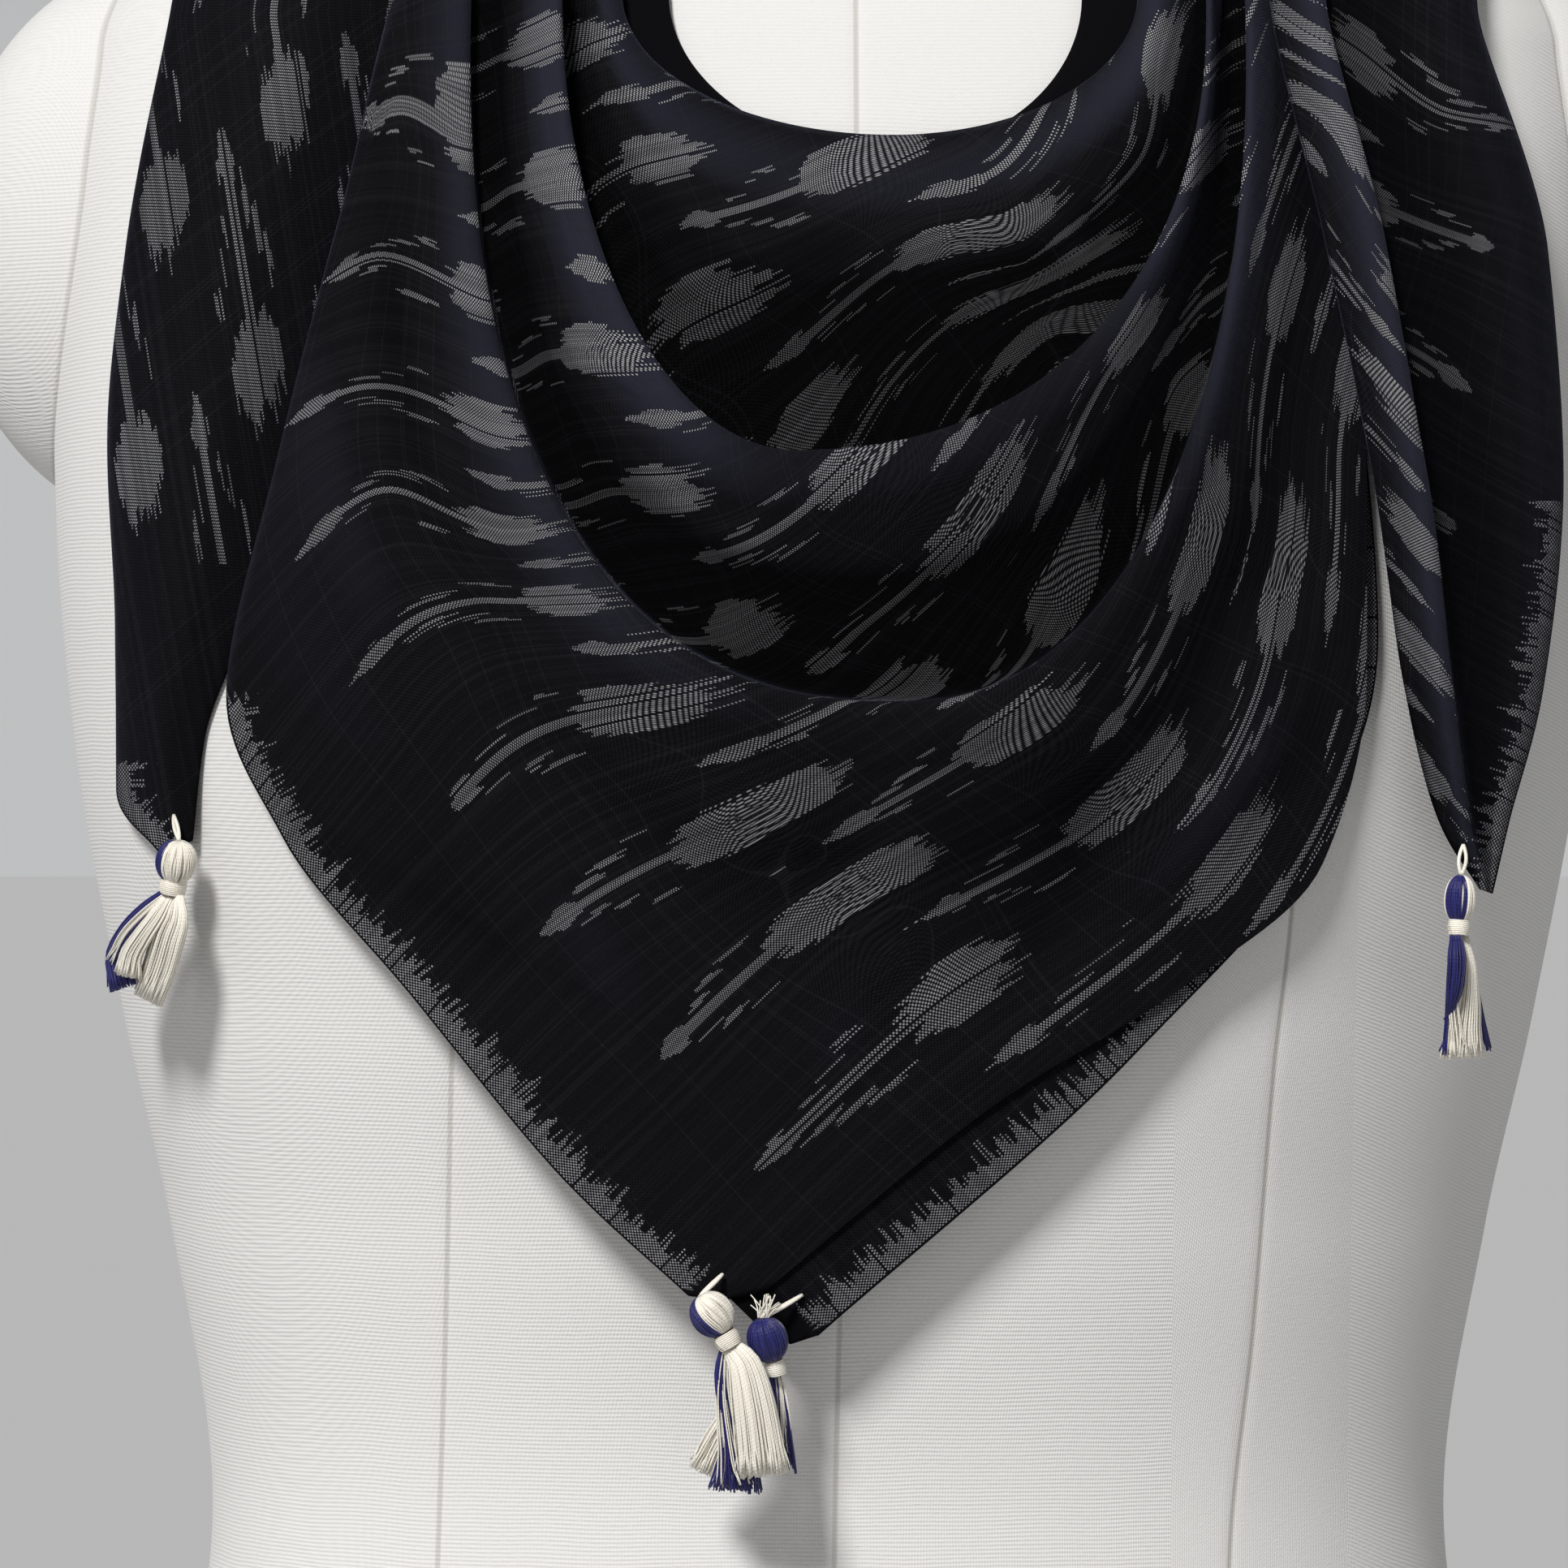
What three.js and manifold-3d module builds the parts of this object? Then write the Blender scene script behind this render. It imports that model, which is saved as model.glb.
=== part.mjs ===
// A square ikat scarf, folded on its diagonal, worn point forward on a limbless dress form.
// Millimetres, +Z up, the wearer faces -Y. The origin is the middle of the form's flat base.
// The folded square hangs in U-shaped swags on the chest; its two ends go round the neck,
// cross at the nape and hang down in front as the left and right tails (left is -X).
// Each cloth piece is a thin wall. A point of it is first set on the draped outline of the
// form, then lifted off it by the height of the fold it lies in.

import * as THREE from "three";
import { mergeVertices } from "three/addons/utils/BufferGeometryUtils.js";
import Module from "manifold-3d";

const wasm = await Module();
wasm.setup();

// ---- Driving dimensions

const WALL = 1.2; // cloth wall, a real cotton voile is thinner
const GAP = 0.3; // clearance between pieces at seams
const OUTLINE_POWER = 2.3; // 2 is an ellipse, more is squarer
const BUST_HEIGHT = 385; // the cloth hangs free of the form below this height
const HANG_SLOPE = 0.1; // how far it leans back to the waist, per unit of height
const GATHER_HEIGHT = 548; // the swags are gathered here, below each shoulder
const REAR_LIFT = 2.6; // middle of the rear layer, from the form
const LEAST_FACING = 0.55; // cosine between the cloth's lift and straight forward
const STEP = 0.05; // small distance for slopes

// Level sections of the form: half its width, and its reach to the front and the back.
const FORM_SECTIONS = [
  { z: 0, half: 160, front: 104, back: 118 },
  { z: 50, half: 168, front: 108, back: 126 },
  { z: 120, half: 158, front: 102, back: 112 },
  { z: 195, half: 147, front: 97, back: 96 },
  { z: 262, half: 157, front: 107, back: 98 },
  { z: 311, half: 168, front: 118, back: 103 },
  { z: 379, half: 180, front: 130, back: 110 },
  { z: 427, half: 184, front: 128, back: 114 },
  { z: 470, half: 185, front: 118, back: 115 },
  { z: 510, half: 184, front: 101, back: 110 },
  { z: 540, half: 179, front: 82, back: 99 },
  { z: 560, half: 166, front: 66, back: 86 },
  { z: 578, half: 134, front: 55, back: 74 },
  { z: 592, half: 98, front: 51, back: 66 },
  { z: 606, half: 73, front: 50, back: 60 },
  { z: 625, half: 60, front: 48, back: 56 },
  { z: 650, half: 56, front: 47, back: 53 },
  { z: 672, half: 55, front: 46, back: 52 },
];
const FORM_RINGS = 30;
const FORM_SIDES = 44;
const SHOULDER_STUB = { x: 158, y: 6, z: 496, length: 54, depth: 49, height: 68 };

// The front layer, row by row, from the rolled neck edge down to its corner. A row starts at
// its left end, reaches its low point and rises to its right end, as two arcs. A bend of 1 is
// an ellipse quarter and 2 is a straight line.
const FRONT_ROWS = [
  { row: 0, leftX: -48, leftZ: 548, lowX: 14, lowZ: 513, rightX: 71, rightZ: 548, bendL: 1, bendR: 1 },
  { row: 1, leftX: -55, leftZ: 548, lowX: 7, lowZ: 480, rightX: 81, rightZ: 548, bendL: 1, bendR: 1 },
  { row: 2, leftX: -61, leftZ: 548, lowX: -8, lowZ: 441, rightX: 86, rightZ: 548, bendL: 1, bendR: 0.9 },
  { row: 3, leftX: -72, leftZ: 548, lowX: 4, lowZ: 411, rightX: 90, rightZ: 548, bendL: 0.9, bendR: 0.9 },
  { row: 4, leftX: -82, leftZ: 548, lowX: 16, lowZ: 384, rightX: 95, rightZ: 548, bendL: 0.8, bendR: 0.9 },
  { row: 5, leftX: -98, leftZ: 548, lowX: 16, lowZ: 358, rightX: 104, rightZ: 548, bendL: 0.8, bendR: 0.9 },
  { row: 6, leftX: -111, leftZ: 497, lowX: 13, lowZ: 335, rightX: 115, rightZ: 490, bendL: 1, bendR: 1 },
  { row: 7, leftX: -125, leftZ: 440, lowX: 8, lowZ: 315, rightX: 121, rightZ: 440, bendL: 1.2, bendR: 1.2 },
  { row: 8, leftX: -137, leftZ: 387, lowX: 3, lowZ: 298, rightX: 121, rightZ: 390, bendL: 1.6, bendR: 1.6 },
  { row: 9, leftX: -124, leftZ: 354, lowX: -3, lowZ: 285, rightX: 111, rightZ: 348, bendL: 2, bendR: 1.9 },
  { row: 10, leftX: -95, leftZ: 319, lowX: -9, lowZ: 273, rightX: 80, rightZ: 321, bendL: 2, bendR: 2 },
  { row: 11, leftX: -59, leftZ: 276, lowX: -17, lowZ: 261, rightX: 38, rightZ: 295, bendL: 2, bendR: 2 },
  { row: 12, leftX: -32, leftZ: 251, lowX: -24, lowZ: 250, rightX: -15, rightZ: 252, bendL: 2, bendR: 2 },
];

// Height of each fold above the form, at the left arm, the low point and the right arm of a
// row. Just above each swag the cloth dips into a pocket.
const FRONT_FOLDS = [
  { row: 0, left: 5.5, low: 5, right: 5.5 },
  { row: 0.4, left: 9, low: 7, right: 11 },
  { row: 1, left: 7, low: 5, right: 7 },
  { row: 1.7, left: 5, low: 5, right: 5 },
  { row: 2, left: 14, low: 12, right: 13 },
  { row: 2.7, left: 11, low: 8, right: 7 },
  { row: 3.4, left: 7.5, low: 5, right: 5 },
  { row: 3.7, left: 7, low: 5, right: 5 },
  { row: 4, left: 12, low: 11, right: 15 },
  { row: 4.6, left: 10, low: 7, right: 8 },
  { row: 5.3, left: 9, low: 5.5, right: 5.5 },
  { row: 7, left: 9, low: 5, right: 6 },
  { row: 9, left: 5.5, low: 5, right: 5.5 },
  { row: 12, left: 5, low: 5, right: 5 },
];
const FRONT_GATHER_ROW = 5; // rows above this one go on over the shoulder
const FRONT_COLUMNS = 36;

// The rear layer shows inside the neck edge and past the front layer on the right.
const REAR_ROWS = [
  { row: 0, leftX: -37, leftZ: 548, lowX: 14, lowZ: 509, rightX: 58, rightZ: 548, bendL: 1, bendR: 1 },
  { row: 1, leftX: -62, leftZ: 548, lowX: 10, lowZ: 460, rightX: 84, rightZ: 548, bendL: 1, bendR: 1 },
  { row: 2, leftX: -88, leftZ: 540, lowX: 8, lowZ: 410, rightX: 104, rightZ: 540, bendL: 0.9, bendR: 0.9 },
  { row: 3, leftX: -98, leftZ: 460, lowX: 8, lowZ: 358, rightX: 118, rightZ: 470, bendL: 1, bendR: 1 },
  { row: 4, leftX: -121, leftZ: 378, lowX: 4, lowZ: 308, rightX: 124, rightZ: 400, bendL: 1.6, bendR: 1.6 },
  { row: 5, leftX: -98, leftZ: 332, lowX: 0, lowZ: 284, rightX: 113, rightZ: 358, bendL: 2, bendR: 2 },
  { row: 6, leftX: -52, leftZ: 280, lowX: -3, lowZ: 260, rightX: 68, rightZ: 305, bendL: 2, bendR: 2 },
  { row: 7, leftX: -14, leftZ: 242, lowX: -9, lowZ: 240, rightX: -3, rightZ: 242, bendL: 2, bendR: 2 },
];
const REAR_COLUMNS = 22;

// The four stretches behind: inner and outer edge, guide points that are then set on the
// form, and the lift of the cloth. The first and last rows of a table are its two ends.
const LEFT_WRAP = [
  { at: 0, inX: -48, inY: -80, inZ: 548, outX: -98, outY: -66, outZ: 548, lift: 0 },
  { at: 1, inX: -62, inY: -46, inZ: 586, outX: -102, outY: -30, outZ: 584, lift: -1.5 },
  { at: 2, inX: -66, inY: 0, inZ: 612, outX: -104, outY: 16, outZ: 592, lift: -2.7 },
  { at: 3, inX: -52, inY: 46, inZ: 618, outX: -84, outY: 62, outZ: 584, lift: -2.6 },
  { at: 4, inX: -1, inY: 66, inZ: 616, outX: -1, outY: 100, outZ: 572, lift: -2.6 },
];
const RIGHT_TAIL = [
  { at: 0, inX: 1, inY: 66, inZ: 616, outX: 1, outY: 100, outZ: 572, lift: 0.6 },
  { at: 1, inX: 66, inY: 60, inZ: 596, outX: 72, outY: 96, outZ: 552, lift: 0.8 },
  { at: 2, inX: 108, inY: 20, inZ: 586, outX: 150, outY: 26, outZ: 566, lift: 0.6 },
  { at: 3, inX: 106, inY: -32, inZ: 582, outX: 150, outY: -30, outZ: 568, lift: 5 },
  { at: 4, inX: 101, inY: -62, inZ: 546, outX: 150, outY: -48, outZ: 546, lift: 10 },
  { at: 5, inX: 112, inY: -90, inZ: 489, outX: 165, outY: -58, outZ: 489, lift: 10.4 },
  { at: 6, inX: 122, inY: -98, inZ: 436, outX: 168, outY: -60, outZ: 436, lift: 10.4 },
  { at: 7, inX: 129, inY: -92, inZ: 388, outX: 163, outY: -60, outZ: 388, lift: 10.4 },
  { at: 8, inX: 138, inY: -84, inZ: 357, outX: 155, outY: -70, outZ: 358, lift: 9.4 },
  { at: 9, inX: 148, inY: -74, inZ: 342, outX: 151, outY: -72, outZ: 341, lift: 8.4 },
];
const RIGHT_WRAP = [
  { at: 0, inX: 71, inY: -70, inZ: 548, outX: 104, outY: -64, outZ: 548, lift: 0 },
  { at: 1, inX: 69, inY: -44, inZ: 588, outX: 101, outY: -30, outZ: 584, lift: -2 },
  { at: 2, inX: 67, inY: 0, inZ: 612, outX: 99, outY: 14, outZ: 594, lift: -2.6 },
  { at: 3, inX: 52, inY: 46, inZ: 624, outX: 82, outY: 60, outZ: 590, lift: 7 },
  { at: 4, inX: 1, inY: 66, inZ: 622, outX: 1, outY: 100, outZ: 578, lift: 7 },
];
const LEFT_TAIL = [
  { at: 0, inX: -1, inY: 66, inZ: 622, outX: -1, outY: 100, outZ: 578, lift: 8 },
  { at: 1, inX: -66, inY: 60, inZ: 600, outX: -72, outY: 96, outZ: 556, lift: 8 },
  { at: 2, inX: -112, inY: 22, inZ: 586, outX: -152, outY: 28, outZ: 564, lift: 2.5 },
  { at: 3, inX: -110, inY: -34, inZ: 580, outX: -152, outY: -30, outZ: 567, lift: -0.2 },
  { at: 4, inX: -106, inY: -62, inZ: 546, outX: -154, outY: -46, outZ: 546, lift: 0 },
  { at: 5, inX: -110, inY: -92, inZ: 490, outX: -163, outY: -58, outZ: 490, lift: 0 },
  { at: 6, inX: -118, inY: -98, inZ: 446, outX: -166, outY: -60, outZ: 446, lift: 0 },
  { at: 7, inX: -133, inY: -92, inZ: 402, outX: -163, outY: -64, outZ: 405, lift: 0 },
  { at: 8, inX: -143, inY: -84, inZ: 376, outX: -163, outY: -66, outZ: 368, lift: 0 },
  { at: 9, inX: -146, inY: -82, inZ: 353, outX: -154, outY: -76, outZ: 350, lift: 0 },
];
// Fold heights across a tail, from its inner edge (0) to its outer edge (1).
const LEFT_TAIL_FOLDS = [
  { across: 0, height: 1.4 },
  { across: 0.3, height: 1.8 },
  { across: 0.6, height: 3.2 },
  { across: 0.85, height: 2.8 },
  { across: 1, height: 1.4 },
];
const RIGHT_TAIL_FOLDS = [
  { across: 0, height: 1.6 },
  { across: 0.22, height: 7.5 },
  { across: 0.4, height: 3.5 },
  { across: 0.6, height: 2 },
  { across: 0.85, height: 5 },
  { across: 1, height: 1.6 },
];
const NAPE_LIFT = 4; // the gathered folds flatten towards this height at the nape
const NAPE_FOLDS = 0.45; // and keep this share of their depth
const TRIMMED_ROW = 15; // shortest guide row, to cut each end back by GAP
const WRAP_COLUMNS = 12;
const TAIL_ACROSS = 10;
const TAIL_ALONG = 30;

// Tassels: where the loop leaves the cloth, the middle of the head and the end of the skirt,
// each with its lift off the form, and half sizes of the head, the neck and the hem.
const TASSELS = [
  {
    name: "front_tassel",
    loopX: -24.7, loopZ: 255.8, loopLift: 6.8,
    headX: -26.6, headZ: 244.8, headLift: 8, headHalf: 4.7, headHigh: 5.4,
    endX: -15.5, endZ: 209, endLift: 12, neckHalf: 2.6, hemHalf: 7.2, hemDeep: 4.2,
  },
  {
    name: "rear_tassel",
    loopX: -6.6, loopZ: 250, loopLift: 4.2,
    headX: -15, headZ: 241.5, headLift: 8, headHalf: 4.3, headHigh: 4.9,
    endX: -20, endZ: 208, endLift: 2.8, neckHalf: 2.2, hemHalf: 7, hemDeep: 2.8,
  },
  {
    name: "left_tassel",
    loopX: -149.6, loopZ: 358.4, loopLift: 3.1,
    headX: -147, headZ: 349, headLift: 6.4, headHalf: 4.1, headHigh: 4.6,
    endX: -155, endZ: 315, endLift: 10, neckHalf: 2.5, hemHalf: 8.5, hemDeep: 3.6,
  },
  {
    name: "right_tassel",
    loopX: 142.4, loopZ: 352, loopLift: 13.4,
    headX: 141.2, headZ: 340.6, headLift: 13.6, headHalf: 3.2, headHigh: 4.2,
    endX: 143, endZ: 304, endLift: 17, neckHalf: 2.2, hemHalf: 6, hemDeep: 3.6,
  },
];
const BINDING_LENGTH = 3.4;
const TASSEL_GAP = 0.35; // along a tassel, from head to binding to skirt
const LOOP_RADIUS = 0.55;
const TASSEL_SIDES = 12;

// ---- Materials

const clothMaterial = new THREE.MeshStandardMaterial({ color: 0x14141c, roughness: 0.85, metalness: 0 });
const formMaterial = new THREE.MeshStandardMaterial({ color: 0xe6e2da, roughness: 0.9, metalness: 0 });
const creamMaterial = new THREE.MeshStandardMaterial({ color: 0xe9e2d2, roughness: 0.7, metalness: 0 });
const blueMaterial = new THREE.MeshStandardMaterial({ color: 0x24286e, roughness: 0.6, metalness: 0 });

// ---- Smooth tables

// Reads every column of a table at a value of its key, through all rows, with no overshoot.
function readTable(table, key, value) {
  const last = table.length - 1;
  const clamped = Math.min(Math.max(value, table[0][key]), table[last][key]);
  let i = 0;
  while (i < last - 1 && clamped > table[i + 1][key]) i++;
  const span = table[i + 1][key] - table[i][key];
  const t = (clamped - table[i][key]) / span;
  const found = {};
  for (const column of Object.keys(table[0])) {
    const slope = (k) => {
      const rise = table[k + 1][column] - table[k][column];
      return rise / (table[k + 1][key] - table[k][key]);
    };
    const tangent = (k) => {
      if (k === 0) return slope(0);
      if (k === last) return slope(last - 1);
      const before = slope(k - 1);
      const after = slope(k);
      return before * after <= 0 ? 0 : (2 * before * after) / (before + after);
    };
    const a = table[i][column];
    const b = table[i + 1][column];
    const rest = 1 - t;
    found[column] =
      a * rest * rest * (1 + 2 * t) +
      b * t * t * (3 - 2 * t) +
      span * t * rest * (tangent(i) * rest - tangent(i + 1) * t);
  }
  return found;
}

// ---- The form, and the outline that cloth hangs on

// Below the bust the cloth hangs nearly straight down, in front of the waist.
function outlineAt(z, draped) {
  const own = readTable(FORM_SECTIONS, "z", z);
  if (!draped || z >= BUST_HEIGHT) return own;
  const bust = readTable(FORM_SECTIONS, "z", BUST_HEIGHT);
  const front = bust.front - HANG_SLOPE * (BUST_HEIGHT - z);
  return { half: bust.half, front, back: own.back };
}

// 1 on the outline, less inside it and more outside.
function fullness(x, y, z) {
  const size = outlineAt(z, true);
  const depth = y < 0 ? size.front : size.back;
  const sum = Math.abs(x / size.half) ** OUTLINE_POWER + Math.abs(y / depth) ** OUTLINE_POWER;
  return sum ** (1 / OUTLINE_POWER);
}

function outwardSlope(p) {
  const slope = new THREE.Vector3(
    fullness(p.x + STEP, p.y, p.z) - fullness(p.x - STEP, p.y, p.z),
    fullness(p.x, p.y + STEP, p.z) - fullness(p.x, p.y - STEP, p.z),
    fullness(p.x, p.y, p.z + STEP) - fullness(p.x, p.y, p.z - STEP),
  );
  return slope.divideScalar(2 * STEP);
}

// Moves a point near the form to a distance from it, along its normal.
function setAtDistance(point, distance) {
  const p = point.clone();
  const rounds = 14;
  for (let i = 0; i < rounds; i++) {
    const slope = outwardSlope(p);
    const steepness = slope.length();
    const now = (fullness(p.x, p.y, p.z) - 1) / steepness;
    p.addScaledVector(slope.divideScalar(steepness), distance - now);
  }
  return p;
}

// The point of the draped outline straight behind (x, z), brought forward until it is lifted
// off it. Where the outline turns away to the side, it comes forward no further.
function liftedFront(x, z, lift) {
  const size = outlineAt(z, true);
  const side = Math.min(Math.abs(x / size.half), 0.995) ** OUTLINE_POWER;
  const y = -size.front * (1 - side) ** (1 / OUTLINE_POWER);
  const p = new THREE.Vector3(x, y, z);
  const facing = -outwardSlope(p).normalize().y;
  p.y -= lift / Math.max(facing, LEAST_FACING);
  return p;
}

// Lifts a guide point of a stretch: off the front below the gathers, and above the shoulder
// off the nearest point of the form.
function liftedFromGuide(guide, lift) {
  const overShoulder = setAtDistance(guide, lift);
  if (guide.y > 0) return overShoulder;
  const share = THREE.MathUtils.smoothstep(guide.z, GATHER_HEIGHT + 2, GATHER_HEIGHT + 22);
  return liftedFront(guide.x, guide.z, lift).lerp(overShoulder, share);
}

// ---- Closed meshes

function meshFrom(name, positions, triangles, material) {
  const flat = new THREE.BufferGeometry();
  flat.setAttribute("position", new THREE.Float32BufferAttribute(positions, 3));
  flat.setIndex(triangles);
  flat.computeVertexNormals();
  const mesh = new THREE.Mesh(flat, material);
  mesh.name = name;
  return mesh;
}

// A wall on both sides of a grid of points, closed at its four edges.
function wallMesh(name, grid, material) {
  const rows = grid.length;
  const columns = grid[0].length;
  const normalAt = (i, j) => {
    const down = grid[Math.min(i + 1, rows - 1)][j].clone().sub(grid[Math.max(i - 1, 0)][j]);
    const across = grid[i][Math.min(j + 1, columns - 1)].clone().sub(grid[i][Math.max(j - 1, 0)]);
    return across.cross(down).normalize();
  };
  const positions = [];
  for (const side of [0.5, -0.5]) {
    for (let i = 0; i < rows; i++) {
      for (let j = 0; j < columns; j++) {
        const p = grid[i][j].clone().addScaledVector(normalAt(i, j), side * WALL);
        positions.push(p.x, p.y, p.z);
      }
    }
  }
  const back = rows * columns;
  const at = (i, j, side) => side * back + i * columns + j;
  const triangles = [];
  const quad = (a, b, c, d) => triangles.push(a, b, c, a, c, d);
  for (let i = 0; i < rows - 1; i++) {
    for (let j = 0; j < columns - 1; j++) {
      quad(at(i, j, 0), at(i, j + 1, 0), at(i + 1, j + 1, 0), at(i + 1, j, 0));
      quad(at(i, j, 1), at(i + 1, j, 1), at(i + 1, j + 1, 1), at(i, j + 1, 1));
    }
  }
  for (let j = 0; j < columns - 1; j++) {
    quad(at(0, j, 0), at(0, j, 1), at(0, j + 1, 1), at(0, j + 1, 0));
    quad(at(rows - 1, j, 0), at(rows - 1, j + 1, 0), at(rows - 1, j + 1, 1), at(rows - 1, j, 1));
  }
  for (let i = 0; i < rows - 1; i++) {
    quad(at(i, 0, 0), at(i + 1, 0, 0), at(i + 1, 0, 1), at(i, 0, 1));
    quad(at(i, columns - 1, 0), at(i, columns - 1, 1), at(i + 1, columns - 1, 1), at(i + 1, columns - 1, 0));
  }
  return meshFrom(name, positions, triangles, material);
}

// ---- The dress form

function formLoft() {
  const sections = [];
  const top = FORM_SECTIONS[FORM_SECTIONS.length - 1].z;
  const shoulder = 540;
  const lower = Math.round(FORM_RINGS * 0.5);
  for (let i = 0; i < lower; i++) sections.push((shoulder * i) / lower);
  for (let i = 0; i <= FORM_RINGS - lower; i++) {
    sections.push(shoulder + ((top - shoulder) * i) / (FORM_RINGS - lower));
  }
  const positions = [];
  for (const z of sections) {
    const size = outlineAt(z, false);
    for (let j = 0; j < FORM_SIDES; j++) {
      const turn = (2 * Math.PI * j) / FORM_SIDES;
      const round = (value) => Math.sign(value) * Math.abs(value) ** (2 / OUTLINE_POWER);
      const depth = Math.sin(turn) < 0 ? size.front : size.back;
      positions.push(size.half * round(Math.cos(turn)), depth * round(Math.sin(turn)), z);
    }
  }
  const triangles = [];
  for (let i = 0; i < sections.length - 1; i++) {
    for (let j = 0; j < FORM_SIDES; j++) {
      const next = (j + 1) % FORM_SIDES;
      const a = i * FORM_SIDES + j;
      const b = i * FORM_SIDES + next;
      triangles.push(a, b, b + FORM_SIDES, a, b + FORM_SIDES, a + FORM_SIDES);
    }
  }
  const lid = (sections.length - 1) * FORM_SIDES;
  for (let j = 1; j < FORM_SIDES - 1; j++) {
    triangles.push(0, j + 1, j, lid, lid + j, lid + j + 1);
  }
  return meshFrom("form_loft", positions, triangles, formMaterial);
}

function stubMesh(side) {
  const stub = new THREE.SphereGeometry(1, 20, 14);
  stub.scale(SHOULDER_STUB.length, SHOULDER_STUB.depth, SHOULDER_STUB.height);
  stub.translate(side * SHOULDER_STUB.x, SHOULDER_STUB.y, SHOULDER_STUB.z);
  return new THREE.Mesh(stub, formMaterial);
}

function solidFrom(mesh) {
  const geometry = mesh.geometry.clone();
  geometry.deleteAttribute("normal");
  geometry.deleteAttribute("uv");
  const merged = mergeVertices(geometry, 1e-4);
  const vertProperties = new Float32Array(merged.attributes.position.array);
  const triVerts = new Uint32Array(merged.index.array);
  return new wasm.Manifold(new wasm.Mesh({ numProp: 3, vertProperties, triVerts }));
}

function dressForm() {
  let solid = solidFrom(formLoft());
  for (const side of [-1, 1]) solid = solid.add(solidFrom(stubMesh(side)));
  const made = solid.getMesh();
  return meshFrom("dress_form", Array.from(made.vertProperties), Array.from(made.triVerts), formMaterial);
}

// ---- The draped layers

// A point of a row: u runs 0 to 1 from its left end over its low point to its right end.
function rowPoint(rows, row, u) {
  const r = readTable(rows, "row", row);
  const onLeft = u < 0.5;
  const turn = (onLeft ? u : 1 - u) * Math.PI;
  const endX = onLeft ? r.leftX : r.rightX;
  const endZ = onLeft ? r.leftZ : r.rightZ;
  const bend = onLeft ? r.bendL : r.bendR;
  return {
    x: r.lowX + (endX - r.lowX) * Math.cos(turn) ** bend,
    z: endZ + (r.lowZ - endZ) * Math.sin(turn) ** bend,
  };
}

function frontLift(row, u) {
  const f = readTable(FRONT_FOLDS, "row", row);
  const low = Math.sin(Math.PI * u) ** 2;
  return f.low * low + (u < 0.5 ? f.left : f.right) * (1 - low);
}

// Rows are closest where the folds are: at each row of the fold table and between them.
function sampledRows(folds, lastRow, spacing) {
  const found = [];
  for (let k = 0; k < folds.length - 1; k++) {
    const from = folds[k].row;
    const to = Math.min(folds[k + 1].row, lastRow);
    const parts = Math.max(1, Math.round((to - from) / spacing));
    for (let i = 0; i < parts && from < lastRow; i++) found.push(from + ((to - from) * i) / parts);
  }
  found.push(lastRow);
  return found;
}

function frontLayer() {
  const rows = sampledRows(FRONT_FOLDS, 12, 0.5);
  const grid = rows.map((row) => {
    const line = [];
    for (let j = 0; j <= FRONT_COLUMNS; j++) {
      const u = j / FRONT_COLUMNS;
      const p = rowPoint(FRONT_ROWS, row, u);
      line.push(liftedFront(p.x, p.z, frontLift(row, u)));
    }
    return line;
  });
  return wallMesh("scarf_front_layer", grid, clothMaterial);
}

function rearLayer() {
  const grid = [];
  const halfSteps = 2 * REAR_ROWS[REAR_ROWS.length - 1].row;
  for (let i = 0; i <= halfSteps; i++) {
    const line = [];
    for (let j = 0; j <= REAR_COLUMNS; j++) {
      const p = rowPoint(REAR_ROWS, i / 2, j / REAR_COLUMNS);
      line.push(liftedFront(p.x, p.z, REAR_LIFT));
    }
    grid.push(line);
  }
  return wallMesh("scarf_rear_layer", grid, clothMaterial);
}

// ---- The stretches round the neck, and the tails

// A wall between two guide edges; liftAt gives the fold height across and along it.
function stretchMesh(name, table, along, across, liftAt, mirrored) {
  const grid = [];
  const last = table[table.length - 1].at;
  for (let i = 0; i < across.length; i++) {
    const line = [];
    for (let j = 0; j <= along; j++) {
      const trim = (GAP / TRIMMED_ROW) * (1 - (2 * j) / along);
      const at = (last * j) / along + trim;
      const s = readTable(table, "at", at);
      const inner = new THREE.Vector3(s.inX, s.inY, s.inZ);
      const guide = inner.lerp(new THREE.Vector3(s.outX, s.outY, s.outZ), across[i]);
      line.push(liftedFromGuide(guide, s.lift + liftAt(across[i], at)));
    }
    grid.push(line);
  }
  if (mirrored) for (const line of grid) line.reverse();
  return wallMesh(name, grid, clothMaterial);
}

// The gathered front layer goes on over the shoulder with its own folds.
function wrapMesh(name, table, arm, mirrored) {
  const rows = sampledRows(FRONT_FOLDS, FRONT_GATHER_ROW, 0.5);
  const edges = FRONT_ROWS.map((r) => ({ row: r.row, x: Math.abs(arm === "left" ? r.leftX : r.rightX) }));
  const inner = readTable(edges, "row", 0).x;
  const outer = readTable(edges, "row", FRONT_GATHER_ROW).x;
  const across = rows.map((row) => (readTable(edges, "row", row).x - inner) / (outer - inner));
  const nape = table[table.length - 1].at;
  const liftAt = (share, at) => {
    const row = rows[across.indexOf(share)];
    const fold = readTable(FRONT_FOLDS, "row", row)[arm] - NAPE_LIFT;
    return NAPE_LIFT + fold * (1 - (1 - NAPE_FOLDS) * (at / nape));
  };
  return stretchMesh(name, table, WRAP_COLUMNS, across, liftAt, mirrored);
}

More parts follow.
